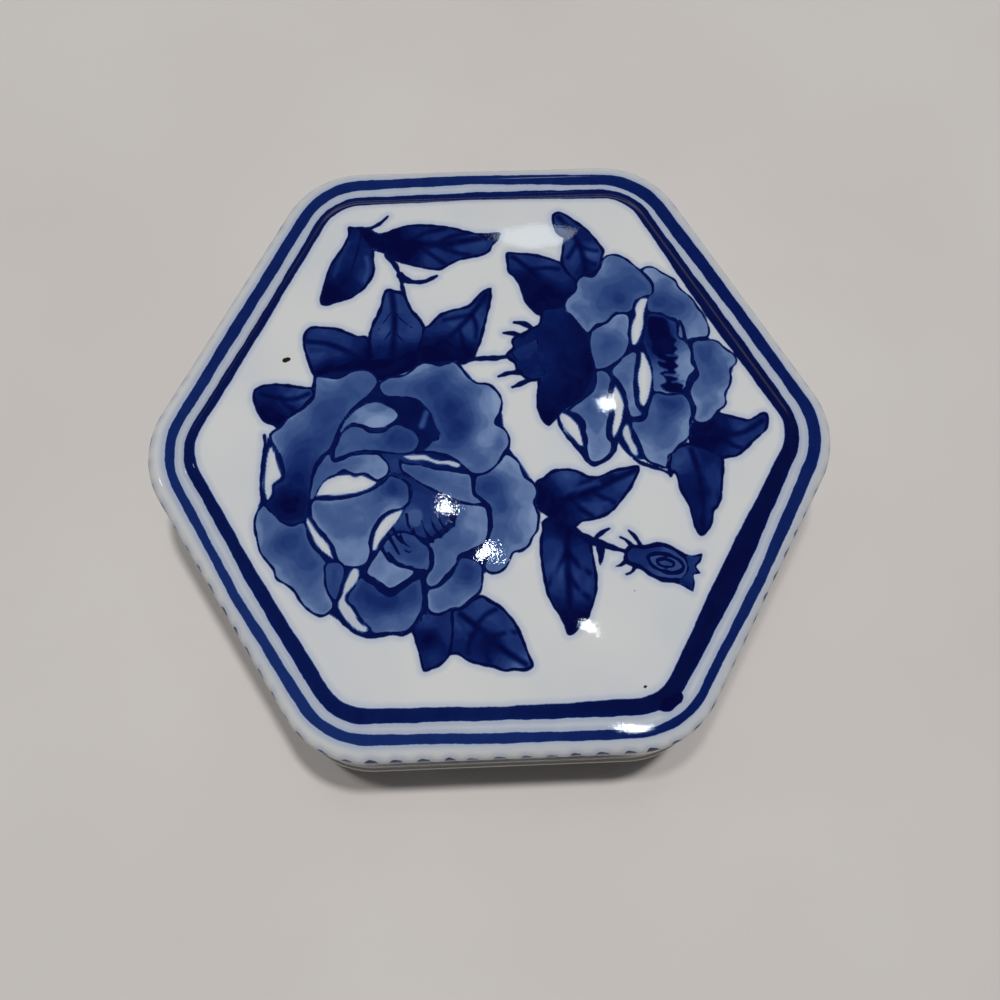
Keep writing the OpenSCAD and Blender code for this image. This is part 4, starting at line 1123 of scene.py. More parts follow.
class Nodes:
    """The nodes of one material."""

    def __init__(self, name: str) -> None:
        """Make an empty material.

        Args:
            name: The material's name.
        """
        self.material = bpy.data.materials.new(name)
        self.material.use_nodes = True
        self.tree = self.material.node_tree
        self.tree.nodes.clear()

    def add(self, kind: str, settings: dict, values: dict) -> bpy.types.Node:
        """Add one node.

        Args:
            kind: The node's type, without the words ShaderNode in front.
            settings: Its settings; stops are the places and colours of a ramp.
            values: What goes into its sockets, by name or number: a number, a colour, a Term or a socket.

        Returns:
            The node.
        """
        node = self.tree.nodes.new("ShaderNode" + kind)
        for key, setting in settings.items():
            if key == "stops":
                ramp = node.color_ramp
                while len(ramp.elements) < len(setting):
                    ramp.elements.new(0.5)
                for element, (place, colour) in zip(ramp.elements, setting):
                    element.position = place
                    element.color = colour
            else:
                setattr(node, key, setting)
        for key, value in values.items():
            socket = node.inputs[key]
            if isinstance(value, Term):
                self.tree.links.new(value.socket, socket)
            elif isinstance(value, Socket):
                self.tree.links.new(value, socket)
            else:
                socket.default_value = value
        return node

    def place(self) -> Socket:
        """Place on the object, in mm."""
        metres = self.add("TexCoord", {}, {}).outputs["Object"]
        settings = {"operation": "SCALE"}
        return self.add("VectorMath", settings, {0: metres, "Scale": 1 / MM}).outputs["Vector"]

    def read(self, name: str) -> Term:
        """A number that was written in the mesh."""
        return Term(self, self.add("Attribute", {"attribute_name": name}, {}).outputs["Fac"])

    def noise(self, place: Socket, size: float, detail: float = 2.0, bend: float = 0.0) -> Term:
        """Noise from -0.5 to 0.5 with spots of a size in mm, finer noise in them, and a distortion."""
        values = {"Vector": place, "Scale": 1 / size, "Detail": detail, "Distortion": bend}
        return Term(self, self.add("TexNoise", {}, values).outputs["Fac"]) - 0.5

    def mix(self, factor: Value, first: object, second: object) -> Socket:
        """Blend two colours, each a colour or a socket, by the share of the second."""
        node = self.add("Mix", {"data_type": "RGBA"}, {0: factor, 6: first, 7: second})
        return node.outputs[2]

    def bump(self, relief: Term, strength: float) -> Socket:
        """Normal of a surface with some relief, in mm."""
        values = {"Height": relief, "Strength": strength, "Distance": MM}
        return self.add("Bump", {}, values).outputs["Normal"]

    def finish(self, values: dict) -> Material:
        """Make the surface of what goes into its sockets, and hand over the material."""
        surface = self.add("BsdfPrincipled", {}, values)
        self.add("OutputMaterial", {}, {"Surface": surface.outputs[0]})
        return self.material


@dataclass(frozen=True)
class Porcelain:
    """White porcelain with cobalt painting under a clear glaze. Lengths are in mm."""

    cool: Tint = (169, 178, 196)
    biscuit: Tint = (192, 185, 173)
    grit: Tint = (120, 98, 74)
    burnt: Tint = (30, 27, 18)
    roughness: float = 0.025
    biscuit_roughness: float = 0.7
    glass_index: float = 1.5
    # How soft the edge of a line is, and how far it strays
    edge_blur: float = 0.09
    line_tremor: float = 0.16
    # How far the cobalt bleeds into the glaze beside a line, how far that strays, and its strength
    halo_reach: float = 0.95
    halo_tremor: float = 0.3
    halo_share: float = 0.75
    # How much the tone of a line and of a wash clouds, and the grain of a wash
    line_cloud: float = 0.1
    wash_cloud: float = 0.2
    wash_grain: float = 0.06
    # Strength of the cooler areas of the bare glaze
    uneven: float = 0.3
    # Heights of the glaze's slow waves and of its fine orange peel
    wave_height: float = 0.05
    peel_height: float = 0.0024
    # Tones and the colours that they give
    cobalt: tuple[tuple[float, Tint], ...] = (
        (0.0, (202, 202, 200)),
        (0.1, (163, 170, 185)),
        (0.25, (118, 140, 178)),
        (0.42, (68, 92, 140)),
        (0.56, (44, 68, 122)),
        (0.7, (22, 44, 102)),
        (0.84, (4, 22, 80)),
        (1.0, (0, 3, 54)),
    )

    def material(self) -> Material:
        """Make the material, which reads the five numbers of the paint from the mesh."""
        n = Nodes("painted_porcelain")
        place = n.place()
        tremor = n.noise(place, 0.7, 3.0)
        cloud = n.noise(place, 2.6, 3.0, 0.6)
        broad = n.noise(place, 14.0)
        gap = n.read("line_gap")
        wash = n.read("wash")
        # Lines and washes, as one tone that the ramp turns into cobalt
        drawn = (gap + tremor * self.line_tremor).step(self.edge_blur, -self.edge_blur)
        line = drawn * (n.read("line_ink") + cloud * self.line_cloud)
        watered = wash + cloud * wash.step(0.05, 0.2) * self.wash_cloud + tremor * wash * self.wash_grain
        tone = watered.most(line)
        stops = [(at, shade(*colour)) for at, colour in self.cobalt]
        paint = n.add("ValToRGB", {"stops": stops}, {"Fac": tone}).outputs["Color"]
        # Cobalt that has bled into the glaze, and the glaze's own cooler areas
        bled = (gap + tremor * self.halo_tremor).step(self.halo_reach, 0.1)
        halo = bled * (1 - wash.step(0.0, 0.1)) * (1 - drawn)
        tinted = n.mix(halo * self.halo_share, paint, shade(*self.cool))
        uneven = n.mix(broad.step(-0.3, 0.3) * self.uneven, tinted, shade(*self.cool))
        glazed = n.mix(tone.step(0.02, 0.12), uneven, tinted)
        # Burnt specks, and the rims that stay bare of glaze
        burnt = (n.read("speck") + tremor * 0.2).step(0.07, -0.07)
        spotted = n.mix(burnt, glazed, shade(*self.burnt))
        grit = n.noise(place, 0.35, 1.0).step(0.24, 0.3) * 0.4
        clay = n.mix(grit, shade(*self.biscuit), shade(*self.grit))
        bare = n.read("bare").step(0.35, 0.65)
        relief = n.noise(place, 7.0, 1.0) * self.wave_height + n.noise(place, 0.24, 1.0) * self.peel_height
        return n.finish({
            "Base Color": n.mix(bare, spotted, clay),
            "Roughness": bare * self.biscuit_roughness + self.roughness,
            "Normal": n.bump(relief, 1.0),
            "IOR": self.glass_index,
        })


@dataclass(frozen=True)
class SealPaste:
    """Vermilion seal paste: pigment and castor oil worked into plant floss. Lengths are in mm."""

    # Red of the hollows between the lumps, darker as painted shade, and red of the lumps' tops
    hollow_shade_red: Tint = (150, 14, 8)
    bright: Tint = (218, 46, 24)
    roughness: float = 0.42
    oil: float = 0.25
    oil_roughness: float = 0.2
    lump_height: float = 0.5
    fibre_height: float = 0.22

    def material(self) -> Material:
        """Make the material, with painted shade in the hollows between the lumps."""
        n = Nodes("vermilion_paste")
        place = n.place()
        lumps = n.noise(place, 3.0, 4.0, 1.2)
        fibre = n.noise(place, 0.5, 3.0, 2.5)
        # Painted shade: darker red where the relief sinks and brighter red where it rises, over the paste's
        # own uneven red
        light = (lumps + fibre * 0.6).step(-0.35, 0.35)
        return n.finish({
            "Base Color": n.mix(light, shade(*self.hollow_shade_red), shade(*self.bright)),
            "Roughness": fibre * 0.3 + self.roughness,
            "Normal": n.bump(lumps * self.lump_height + fibre * self.fibre_height, 0.9),
            "Coat Weight": self.oil,
            "Coat Roughness": self.oil_roughness,
        })


@dataclass(frozen=True)
class Counter:
    """The plain pale top that the box stands on."""

    colour: Tint = (203, 198, 194)
    cloud: Tint = (198, 192, 188)
    roughness: float = 0.75

    def material(self) -> Material:
        """Make the material."""
        n = Nodes("pale_counter")
        clouds = n.noise(n.place(), 60.0, 3.0).step(-0.2, 0.25)
        colour = n.mix(clouds, shade(*self.colour), shade(*self.cloud))
        return n.finish({"Base Color": colour, "Roughness": self.roughness})


class Slot(Enum):
    """Material slots of the record."""

    GLAZE = "glaze"
    PASTE = "paste"


class Body(Enum):
    """Bodies that the pieces ride on."""

    BASE = "base"
    LID = "lid"


def settle(piece: Object, material: Material, body: Body, node: str) -> None:
    """Dress a piece and tie it to the frame.

    Args:
        piece: The piece.
        material: Its material.
        body: The body that it rides on.
        node: The node that it stands for.
    """
    piece.data.materials.append(material)
    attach(piece, body.value)
    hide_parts(node)
    faces = len(piece.data.polygons)
    LOG.info("%s: %d faces, on %s, stands for %s", piece.name, faces, body.value, node)


# Sub-assemblies

@dataclass
class Lid:
    """The domed lid with its raised panel, painted border and hollow inside."""

    outline: Outline
    base_h: float = 15.5
    side_h: float = 13.0
    wall: float = 3.2
    top_t: float = 3.4
    round_w: float = 2.3
    round_h: float = 1.9
    shoulder_w: float = 2.0
    # Slopes of the shoulder at its inner and its outer end
    shoulder_slopes: Pair = (0.018, 0.0515)
    step_w: float = 1.8
    panel_z: float = 29.5
    crown_h: float = 2.1
    crown_power: float = 2.8
    # How far inside the panel's edge the ring lies that gives the seam its normals
    seam_inset: float = 0.2
    fillet_r: float = 3.5
    edge_r: float = 0.5
    # How far the side draws in towards the rim, so that the base's edge shows below it
    draw_in: float = 0.25
    around: int = 1080
    panel_rings: int = 180
    # Heights above the rim between which the glaze ends, on the outside and on the inside
    bare_outside: Pair = (0.25, 0.05)
    bare_inside: Pair = (0.3, 0.1)
    # Width that the panel's chart takes in
    chart_w: float = 80.0
    specks: tuple[Dot, ...] = (
        (-25.6, 11.2, 0.42), (-25.3, 11.3, 0.4), (17.0, -31.5, 0.24), (16.4, -20.1, 0.12),
    )
    # Apothems of the four edges of the two painted lines, at every corner and every side in turn
    border_edges: tuple[Numbers, ...] = (
        (32.5, 32.4, 32.9, 33.6, 33.0, 32.7, 32.7, 33.0, 32.8, 33.1, 32.7, 32.3),
        (34.6, 34.8, 34.8, 35.1, 34.6, 34.2, 34.1, 34.8, 34.6, 34.6, 34.8, 35.2),
        (35.7, 35.8, 35.5, 36.2, 35.6, 35.5, 35.3, 36.2, 35.7, 36.1, 36.3, 36.7),
        (37.4, 37.4, 37.2, 37.6, 37.2, 36.9, 36.6, 37.3, 37.0, 37.3, 37.4, 37.9),
    )
    # Tones of the inner and the outer line, in the same order
    border_tones: tuple[Numbers, ...] = (
        (0.95, 0.93, 0.9, 0.84, 0.87, 0.9, 0.88, 0.86, 0.84, 0.82, 0.94, 0.97),
        (0.82, 0.85, 0.82, 0.78, 0.79, 0.8, 0.76, 0.72, 0.72, 0.74, 0.84, 0.78),
    )
    # Waves that each of the four edges strays in, and how far
    border_turns: tuple[tuple[int, ...], ...] = ((5, 23, 59), (7, 31, 71), (4, 27, 67), (6, 19, 61))
    border_stray: float = 0.2
    # Blot where the brush was put down on the inner line
    blot: Line = Line(2.2, 1.6, (19.4, -33.15, 20.1, -33, 20.7, -32.7), 1.0)
    # Tone of the cobalt that has bled between the two lines, and how much of it is gone on the rounding
    haze: float = 0.12
    haze_loss: float = 0.6
    # Key fret round the side: its girth, the number of its keys, its lines, and one key with its dash
    girth: float = 262.8
    fret_count: int = 86
    fret_lines: tuple[Band, ...] = ((26.55, 26.7, 0.6), (22.2, 22.45, 0.8), (17.4, 17.9, 0.85))
    key: tuple[Line, Line] = (
        Line(0.42, 0.3, (0.5, 26.6, 1.9, 26.6, 1.95, 26, 1.95, 23.4, 1.9, 23.1, 0.7, 23.1, 0.65, 23.4,
            0.65, 25.3, 0.7, 25.5, 1.25, 25.5, 1.3, 25.2, 1.3, 24.2), 0.88),
        Line(0.95, 0.7, (0.9, 26.9, 1.4, 26.95), 1.0),
    )

    @property
    def shoulder(self) -> Pair:
        """Apothem and height of the shoulder's outer edge."""
        return (self.outline.apothem - self.round_w, self.base_h + self.side_h)

    @property
    def step_foot(self) -> Pair:
        """Apothem and height of the foot of the step."""
        rise = self.shoulder_w * sum(self.shoulder_slopes) / 2
        return (self.shoulder[0] - self.shoulder_w, self.shoulder[1] + rise)

    @property
    def panel(self) -> Pair:
        """Apothem and height of the panel's edge."""
        return (self.step_foot[0] - self.step_w, self.panel_z)

    def skin(self) -> tuple[Skin, int, int]:
        """Sweep the lid from just inside the panel's edge over the side and rim to the hollow's middle.

        Returns:
            The surface, the number of the ring at the panel's edge and that of the ring at the rim.
        """
        o, a, edge = self.outline, self.outline.apothem, self.edge_r
        # The panel's edge, the step and the shoulder
        inner_slope, outer_slope = self.shoulder_slopes
        first = 90 - math.degrees(math.atan(outer_slope * self.round_w / self.round_h))
        panel_slope = -self.crown_h * self.crown_power / self.panel[0]
        rings = [o.crown(self.panel[0] - self.seam_inset, self.panel, self.crown_h, self.crown_power)]
        rings += o.ease(self.panel, panel_slope, self.step_foot, -inner_slope, 12)
        centre = (self.shoulder[0], self.shoulder[1] - self.round_h)
        start = (centre[0] + self.round_w * math.cos(math.radians(first)),
                 centre[1] + self.round_h * math.sin(math.radians(first)))
        rings += o.ease(self.step_foot, -inner_slope, start, -outer_slope, 10)
        # The rounding, the side and the rim
        rings += o.curve(centre, (self.round_w, self.round_h), (first, 0), 16)
        rings += o.run((a, centre[1]), (a - self.draw_in, self.base_h + edge), 35)
        rings += o.curve((a - self.draw_in - edge, self.base_h + edge), (edge, edge), (0, -90), 5)
        rim = len(rings) - 1
        inner = a - self.wall
        ceiling = self.base_h + self.side_h - self.top_t
        # The rim's flat face and the hollow
        rings += o.run((a - self.draw_in - edge, self.base_h), (inner + edge, self.base_h), 6)
        rings += o.curve((inner + edge, self.base_h + edge), (edge, edge), (-90, -180), 4)
        fillet = self.fillet_r
        rings += o.run((inner, self.base_h + edge), (inner, ceiling - fillet), 6)
        rings += o.curve((inner - fillet, ceiling - fillet), (fillet, fillet), (0, 90), 10)
        reach = inner - fillet - edge
        rise = self.panel[1] - self.shoulder[1] + self.crown_h
        rings += [o.crown(reach * share, (reach, ceiling), rise, 2) for share in np.linspace(1, 0.02, 26)]
        return Skin.sweep(o, rings, self.around), 1, rim

    def wave(self, share: Array, size: float, turns: tuple[int, ...]) -> Array:
        """Offset in mm of a line drawn by hand, as the sum of waves that have some turns each."""
        total = sum(np.sin(2 * math.pi * t * share + 1.7 * t) / (i + 1) for i, t in enumerate(turns))
        return size * total / len(turns)

    def border(self, surface: Paint, level: Array, share: Array) -> None:
        """Draw the two lines round the panel, which stray as a hand-held brush does.

        Args:
            surface: The paint that they go on.
            level: Apothem of each point.
            share: Share of the way round of each point.
        """
        # Every corner and every side, and the first corner again
        stops = np.arange(2 * SIDES + 1) / (2 * SIDES)
        edges = []
        for row, turns in zip(self.border_edges, self.border_turns):
            stray = self.wave(share, self.border_stray, turns)
            edges.append(np.interp(share, stops, row + row[:1]) + stray)
        tones = [np.interp(share, stops, row + row[:1]) for row in self.border_tones]
        surface.band(level, edges[0], edges[1], tones[0])
        surface.band(level, edges[2], edges[3], tones[1])
        surface.lay(self.blot)
        haze = self.haze * soft_step(surface.gap, 1.3, 0.1) * soft_step(level, 33.0, 34.5)
        haze *= 1 - self.haze_loss * soft_step(level, 37.2, 38.0)
        surface.wash = np.maximum(surface.wash, haze)

    def fret(self, share: Array, height: Array) -> Paint:
        """Draw the key fret round the side.

        Args:
            share: Share of the way round of each point.
            height: Its height.

        Returns:
            The paint.
        """
        pitch = self.girth / self.fret_count
        along = share * self.girth + self.wave(share, 0.5, (23, 37, 61))
        surface = Paint(along % pitch, height + self.wave(share, 0.4, (9, 31, 53)))
        for low, high, ink in self.fret_lines:
            surface.band(surface.y, low, high, ink)
        for shift in (-pitch, 0.0, pitch):
            for line in self.key:
                surface.lay(line.moved(shift))
        return surface

    def panel_piece(self, seam: Array, seam_normals: Array, spray: PeonySpray) -> Object:
        """Make the crowned panel with the painting on it.

        Args:
            seam: Points of the ring that the side starts from.
            seam_normals: Their normals.
            spray: The painting.

        Returns:
            The piece.
        """
        # The ring with number j has this many times j points
        n, count = SIDES, self.panel_rings
        middle = self.outline.crown(0.0, self.panel, self.crown_h, self.crown_power)
        points, levels, shares, faces = [np.array([[0.0, 0.0, middle[1]]])], [0.0], [0.0], []
        for j in range(1, count + 1):
            ring = self.outline.crown(self.panel[0] * j / count, self.panel, self.crown_h, self.crown_power)
            share = np.arange(n * j) / (n * j)
            points.append(self.outline.place(ring, share))
            levels += [ring[0]] * len(share)
            shares += share.tolist()
            # First point of the ring before this one and of this one
            inner, outer = 1 + n * (j - 1) * (j - 2) // 2, 1 + n * j * (j - 1) // 2
            for k in range(n):
                for i in range(j):
                    here = outer + k * j + i
                    after = outer + (k * j + i + 1) % (n * j)
                    back = 0 if j == 1 else inner + (k * (j - 1) + i) % (n * (j - 1))
                    faces.append((back, here, after))
                    if i < j - 1:
                        far = inner + (k * (j - 1) + i + 1) % (n * (j - 1))
                        faces.append((back, after, far))
        where = np.concatenate(points)
        where[-len(seam):] = seam
        normals = point_normals(where, (np.array(faces),))
        normals[-len(seam):] = seam_normals
        piece = make_piece("lid_panel", where, faces, normals, 0.5 + where[:, :2] / self.chart_w)
        surface = Paint.over(where)
        spray.paint(surface)
        self.border(surface, np.array(levels), np.array(shares))
        for x, y, radius in self.specks:
            surface.dot(x, y, radius)
        surface.write(piece)
        return piece

    def build(self, spray: PeonySpray, porcelain: Material) -> None:
        """Make the lid's pieces and dress them.

        Args:
            spray: The painting.
            porcelain: The material.
        """
        skin, edge, rim = self.skin()
        side = skin.cut(edge, rim)
        panel = self.panel_piece(side.points[0], side.normals[0], spray)
        settle(panel, porcelain, Body.LID, "lid")

        piece = side.strip_piece("lid_side")
        height = side.where[:, 2]
        level = np.repeat([ring[0] for ring in side.rings], self.around)
        surface = Paint.over(side.where)
        self.border(surface, level, side.share)
        surface.join(self.fret(side.share, height))
        surface.write(piece, soft_step(height - self.base_h, *self.bare_outside))
        settle(piece, porcelain, Body.LID, "lid")

        build_plain("lid_inside", skin.cut(rim, len(skin.rings) - 1), False,
                    lambda p: soft_step(p[:, 2] - self.base_h, *self.bare_inside), porcelain, Body.LID)


def build_plain(name: str, skin: Skin, from_middle: bool, bare: Callable[[Array], Array],
                porcelain: Material, body: Body) -> None:
    """Make a piece without painting that closes in the middle and stands for its body's porcelain.

    Args:
        name: The piece's name.
        skin: Its surface.
        from_middle: Whether its first ring is the one in the middle.
        bare: Function that says how bare of glaze points are.
        porcelain: The material.
        body: The body that it rides on.
    """
    around = skin.points.shape[1]
    hub = len(skin.where)
    ring = 0 if from_middle else hub - around
    flat_normals = skin.normals.reshape(-1, 3)
    middle = skin.where[ring:ring + around].mean(axis=0)
    normal = flat_normals[ring:ring + around].mean(axis=0)
    cap = [(hub, ring + i, ring + (i + 1) % around) for i in range(around)]
    if not from_middle:
        cap = [(hub, b, a) for _, a, b in cap]
    points = np.vstack([skin.where, middle])
    normals = np.vstack([flat_normals, normal / np.linalg.norm(normal)])
    chart = np.vstack([skin.disc_chart(from_middle), [[0.5, 0.5]]])
    piece = make_piece(name, points, skin.faces().tolist() + cap, normals, chart)
    Paint.over(points).write(piece, bare(points))
    settle(piece, porcelain, body, body.value)


@dataclass
class Base:
    """The base with its well, its raised lip and its foot ring."""

    outline: Outline
    height: float = 15.5
    taper: float = 1.4
    turn_h: float = 5.5
    lip_h: float = 3.2
    lip_t: float = 2.6
    lip_gap: float = 0.5
    lid_wall: float = 3.2
    floor_t: float = 3.4
    fillet_r: float = 4.5
    foot_h: float = 1.5
    foot_w: float = 2.6
    foot_inset: float = 5.6
    edge_r: float = 0.5
    # Radius of the hollow corner where the lip meets the rim
    lip_foot_r: float = 0.3
    side_lines: tuple[Band, ...] = ((5.2, 5.9, 0.86), (4.2, 4.5, 0.8))
    # Heights of the waves that the two lines stray in, and their turns round the box
    sway: tuple[tuple[float, int], ...] = ((0.08, 7), (0.05, 19))
    # Heights from the rim between which the side loses its glaze, and radii outside which the rim has none
    bare_side: Pair = (-0.3, -0.1)
    bare_radii: Pair = (36.0, 36.3)
    # The same heights for the foot ring, from the table
    bare_foot: Pair = (0.45, 0.25)
    around: int = 720

    @property
    def well_a(self) -> float:
        """Apothem of the well."""
        return self.outline.apothem - self.lid_wall - self.lip_gap - self.lip_t

    @property
    def well_z(self) -> float:
        """Height of the well's floor."""
        return self.foot_h + self.floor_t

    def skin(self) -> tuple[Skin, int, int]:
        """Sweep the base from the well's middle over the lip and down the side to the foot's middle.

        Returns:
            The surface, the number of the ring at the rim and that of the ring where the foot starts.
        """
        o, a, edge, foot_r = self.outline, self.outline.apothem, self.edge_r, self.lip_foot_r
        # The well
        flat = self.well_a - self.fillet_r
        rings = [o.crown(flat * share, (flat, self.well_z), 0.0, 2) for share in np.linspace(0.02, 0.97, 18)]
        rings += o.curve((flat, self.well_z + self.fillet_r), (self.fillet_r, self.fillet_r), (-90, 0), 12)
        # The lip
        half = self.lip_t / 2
        lip_z = self.height + self.lip_h
        rings += o.run((self.well_a, self.well_z + self.fillet_r), (self.well_a, lip_z - half), 5)
        rings += o.curve((self.well_a + half, lip_z - half), (half, half), (180, 0), 16)
        outer = self.well_a + self.lip_t
        rings += o.run((outer, lip_z - half), (outer, self.height + foot_r), 4)
        rings += o.curve((outer + foot_r, self.height + foot_r), (foot_r, foot_r), (180, 270), 3)
        # The rim, whose rounding belongs to the side
        rings += o.run((outer + foot_r, self.height), (a - edge, self.height), 5)
        rim = len(rings)
        rings += o.curve((a - edge, self.height - edge), (edge, edge), (90, 0), 5)
        # The side and the turn above the foot
        foot_a = a - self.foot_inset
        turn_a = a - self.taper
        turn_z = self.foot_h + self.turn_h
        rings += o.run((a, self.height - edge), (turn_a, turn_z), 26)
        rings += o.curve((foot_a, turn_z), (turn_a - foot_a, self.turn_h), (0, -80), 16)
        foot = len(rings) - 1
        # The foot ring and the hollow inside it
        inner = foot_a - self.foot_w
        rings += [o.at(foot_a, self.foot_h / 2)]
        rings += o.curve((foot_a - edge, edge), (edge, edge), (0, -90), 4)
        rings += o.curve((inner + edge, edge), (edge, edge), (-90, -180), 4)
        rings += [o.at(inner, self.foot_h / 2), o.at(inner - edge, self.foot_h)]
        reach = inner - 2 * edge
        rings += [o.crown(reach * share, (reach, self.foot_h), 0.0, 2) for share in np.linspace(1, 0.02, 18)]
        return Skin.sweep(o, rings, self.around), rim, foot

    def build(self, porcelain: Material) -> None:
        """Make the base's pieces and dress them.

        Args:
            porcelain: The material.
        """
        skin, rim, foot = self.skin()
        side = skin.cut(rim, foot)
        piece = side.strip_piece("base_side")
        height = side.where[:, 2]
        turn = 2 * math.pi * side.share
        sway = sum(size * np.sin(turns * turn + i) for i, (size, turns) in enumerate(self.sway))
        surface = Paint.over(side.where)
        for low, high, ink in self.side_lines:
            surface.band(height, low + sway, high + sway, ink)
        surface.write(piece, soft_step(height - self.height, *self.bare_side))
        settle(piece, porcelain, Body.BASE, "base")
        build_plain("base_well", skin.cut(0, rim), True, self.bare_rim, porcelain, Body.BASE)
        build_plain("base_foot", skin.cut(foot, len(skin.rings) - 1), False,
                    lambda p: soft_step(p[:, 2], *self.bare_foot), porcelain, Body.BASE)

    def bare_rim(self, points: Array) -> Array:
        """How bare of glaze points are: wholly on the rim that the lid rests on, not at all elsewhere."""
        over = points[:, 2] - self.height
        outside = soft_step(np.hypot(points[:, 0], points[:, 1]), *self.bare_radii)
        return outside * soft_step(over, -0.2, -0.1) * soft_step(over, 0.9, 0.7)


@dataclass
class PasteCake:
    """The cake of paste in the well, stirred into a low swirl."""

    radius: float = 28.5
    rest_share: float = 0.93
    floor_z: float = 4.9
    edge_h: float = 3.4
    height: float = 7.6
    around: int = 240
    rings: int = 110
    # Arms of the swirl and how far they wind, in radians
    arms: int = 3
    twist: float = 11.0
    # Depths of the swirl, of the lumps and of the fine lumps, and how far the outline strays
    swirl_h: float = 0.42
    lump_h: float = 0.55
    fine_h: float = 0.14
    stray: float = 0.35

    @staticmethod
    def lump(size: float, share: float, angle: float, layer: float) -> float:
        """Unevenness from -1 to 1 at a share of the radius and an angle, size spots along the radius."""
        return noise.noise(Vector((size * share * math.cos(angle), size * share * math.sin(angle), layer)))

    def drop(self, share: float, angle: float) -> float:
        """How far the stirring sinks the top at a share of the radius and an angle."""
        # It fades out at the edge and in the middle
        fade = min(1.0, (1 - share) * 9) * min(1.0, share * 6)
        swirl = math.sin(self.arms * angle + self.twist * share + 0.6 * math.sin(2 * angle))
        lump = self.lump(3.4, share, angle, 2.0)
        fine = self.lump(15, share, angle, 5.0)
        return fade * (self.swirl_h * (1 - swirl) + self.lump_h * (0.6 - lump) + self.fine_h * (0.5 - fine))

    def profile(self) -> list[tuple[float, float, bool]]:
        """Radius and height of each ring from the floor up, and whether it belongs to the stirred top."""
        rest = self.radius * self.rest_share
        profile = []
        for t in np.linspace(0, 90, 12, endpoint=False):
            angle = math.radians(t - 90)
            side = rest + (self.radius - rest) * math.cos(angle)
            profile.append((side, self.edge_h * (1 + math.sin(angle)), False))
        for t in np.linspace(0, 1, self.rings):
            angle = math.radians(90) * t ** 0.8
            far = self.radius * math.cos(angle)
            if far > 0.15:
                high = self.edge_h + (self.height - self.edge_h) * math.sin(angle)
                profile.append((far, high, True))
        return profile

    def build(self, material: Material) -> None:
        """Make the cake and dress it.

        Args:
            material: The paste's material.
        """
        profile = self.profile()
        points = []
        for far, high, stirred in profile:
            share = far / self.radius
            for angle in 2 * math.pi * np.arange(self.around) / self.around:
                drop = max(0.0, self.drop(share, angle)) if stirred else 0.0
                out = far - self.stray * (0.5 + 0.5 * self.lump(4, 1, angle, high))
                points.append((out * math.cos(angle), out * math.sin(angle), self.floor_z + high - drop))
        rows = len(profile)
        where = np.array(points).reshape(rows, self.around, 3)
        skin = Skin([(0.0, 0.0, 0.0)] * rows, where[::-1], np.zeros_like(where))
        top, low = len(skin.where), len(skin.where) + 1
        last = (rows - 1) * self.around
        cap = [(top, i, (i + 1) % self.around) for i in range(self.around)]
        cap += [(low, last + (i + 1) % self.around, last + i) for i in range(self.around)]
        middle = skin.where[:self.around].mean(axis=0)
        where = np.vstack([skin.where, middle, [0.0, 0.0, self.floor_z]])
        sides = skin.faces()
        chart = np.vstack([skin.disc_chart(True), [[0.5, 0.5], [0.99, 0.99]]])
        normals = point_normals(where, (sides, np.array(cap)))
        piece = make_piece("paste_cake", where, sides.tolist() + cap, normals, chart)
        settle(piece, material, Body.BASE, "seal_paste")


@dataclass(frozen=True)
class Lamp:
    """A round lamp: place and aim in metres, width in metres, power in watts."""

    name: str
    place: Triple
    width: float
    power: float
    # Whether the glaze mirrors it
    mirrored: bool
    colour: Triple = (1.0, 1.0, 1.0)
    aim: Triple = (0.0, 0.0, 0.03)

    def build(self) -> None:
        """Make the lamp."""
        data = bpy.data.lights.new(self.name, "AREA")
        data.shape = "DISK"
        data.size = self.width
        data.energy = self.power
        data.color = self.colour
        lamp = add_object(self.name, data)
        lamp.location = self.place
        back = Vector(self.place) - Vector(self.aim)
        lamp.rotation_euler = back.to_track_quat("Z", "Y").to_euler()
        lamp.visible_glossy = self.mirrored


# Light of the small lamps that the glaze mirrors
COOL_LIGHT = (0.78, 0.9, 1.0)


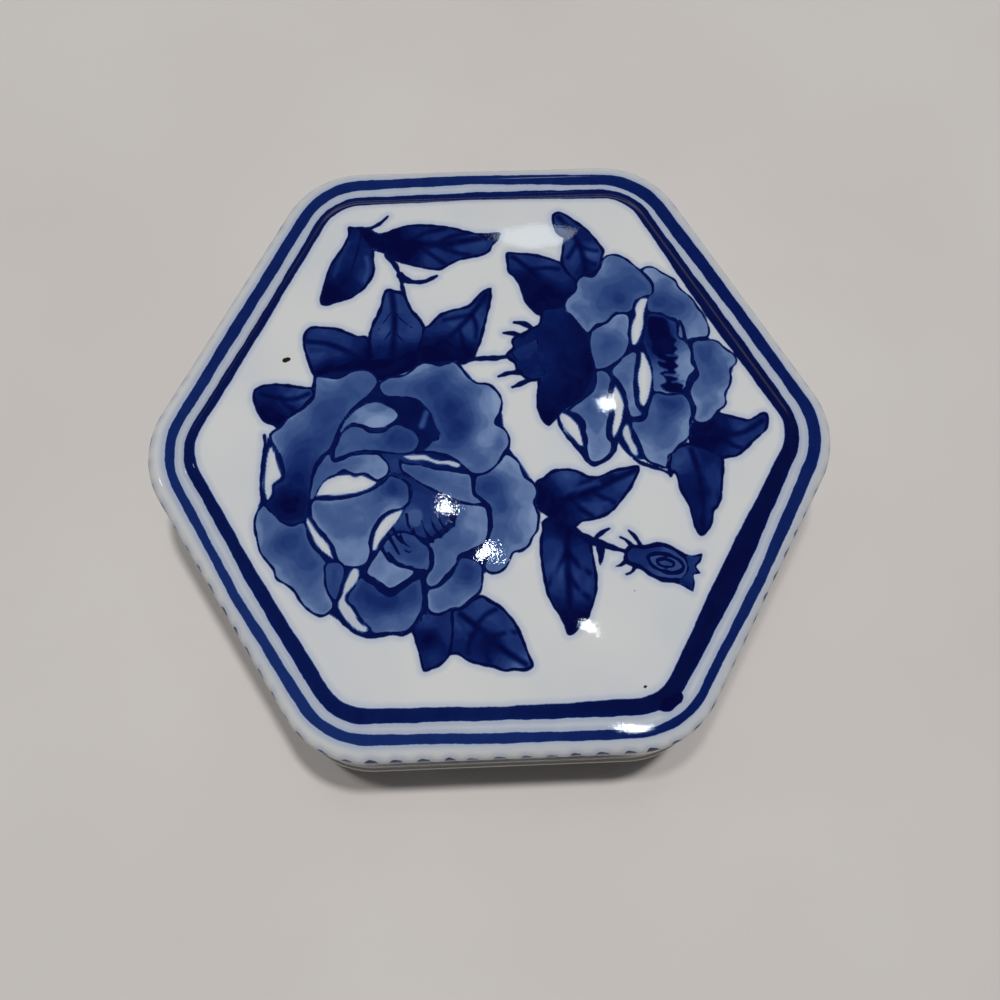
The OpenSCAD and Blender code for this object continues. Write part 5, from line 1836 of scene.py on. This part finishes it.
@dataclass(frozen=True)
class Studio:
    """The floor, the soft light and the camera at the photograph's angle. Lengths are in metres."""

    lens: float = 46.8
    elevation: float = 74.0
    azimuth: float = -5.5
    roll: float = 3.3
    distance: float = 0.1615
    target: Triple = (0.000763, -0.007487, 0.0282)
    nearest: float = 0.01
    floor_half: float = 6.0
    sky: float = 0.045
    lamps: tuple[Lamp, ...] = (
        Lamp("key_lamp", (0.078, 0.02, 1.0), 0.05, 5.1, False),
        Lamp("fill_lamp", (-0.1, 0.012, 1.0), 0.05, 2.6, False),
        Lamp("ceiling", (0.1, 0.1, 1.5), 1.6, 1.9, False),
        Lamp("spot_a", (-0.047, 0.22, 1.0), 0.016, 0.09, True, COOL_LIGHT),
        Lamp("spot_b", (0.012, 0.136, 1.0), 0.022, 0.16, True, COOL_LIGHT),
        Lamp("spot_c", (0.141, -0.02, 1.0), 0.026, 0.11, True, COOL_LIGHT),
        Lamp("spot_d", (0.203, 0.388, 1.0), 0.02, 0.1, True, COOL_LIGHT),
        Lamp("far_lamp", (0.09, 0.906, 1.0), 0.1, 0.1, True, COOL_LIGHT),
        Lamp("left_window", (-1.2, 0.1, 0.9), 0.12, 0.4, True),
    )

    def camera(self) -> None:
        """Make the camera."""
        elevation, azimuth, roll = (math.radians(v) for v in (self.elevation, self.azimuth, self.roll))
        flat = math.cos(elevation)
        back = Vector((math.sin(azimuth) * flat, -math.cos(azimuth) * flat, math.sin(elevation)))
        right = Vector((math.cos(azimuth), math.sin(azimuth), 0.0))
        up = back.cross(right)
        turned_right = right * math.cos(roll) + up * math.sin(roll)
        turned_up = up * math.cos(roll) - right * math.sin(roll)
        data = bpy.data.cameras.new("camera")
        data.lens = self.lens
        data.clip_start = self.nearest
        camera = add_object("camera", data)
        axes = Matrix((turned_right, turned_up, back)).transposed().to_4x4()
        camera.matrix_world = Matrix.Translation(Vector(self.target) + back * self.distance) @ axes
        bpy.context.scene.camera = camera

    def floor(self) -> None:
        """Make the floor."""
        h = self.floor_half
        mesh = bpy.data.meshes.new("floor")
        mesh.from_pydata([(-h, -h, 0), (h, -h, 0), (h, h, 0), (-h, h, 0)], [], [(0, 1, 2, 3)])
        floor = add_object("floor", mesh)
        mesh.materials.append(Counter().material())

    def light(self) -> None:
        """Make the lamps and the even light of the room."""
        world = bpy.data.worlds.new("room")
        world.use_nodes = True
        back = world.node_tree.nodes["Background"]
        back.inputs["Color"].default_value = (1.0, 1.0, 1.0, 1.0)
        back.inputs["Strength"].default_value = self.sky
        bpy.context.scene.world = world
        for lamp in self.lamps:
            lamp.build()

    def build(self) -> None:
        """Set the stage."""
        bpy.context.scene.view_settings.view_transform = "Standard"
        self.camera()
        self.floor()
        self.light()


def main() -> None:
    """Build the stage and the box."""
    logging.basicConfig(level=logging.INFO, format="%(name)s %(message)s")
    outline = Outline()
    Studio().build()
    porcelain = Porcelain().material()
    Lid(outline).build(PeonySpray(), porcelain)
    Base(outline).build(porcelain)
    PasteCake().build(SealPaste().material())


if __name__ == "__main__":
    main()
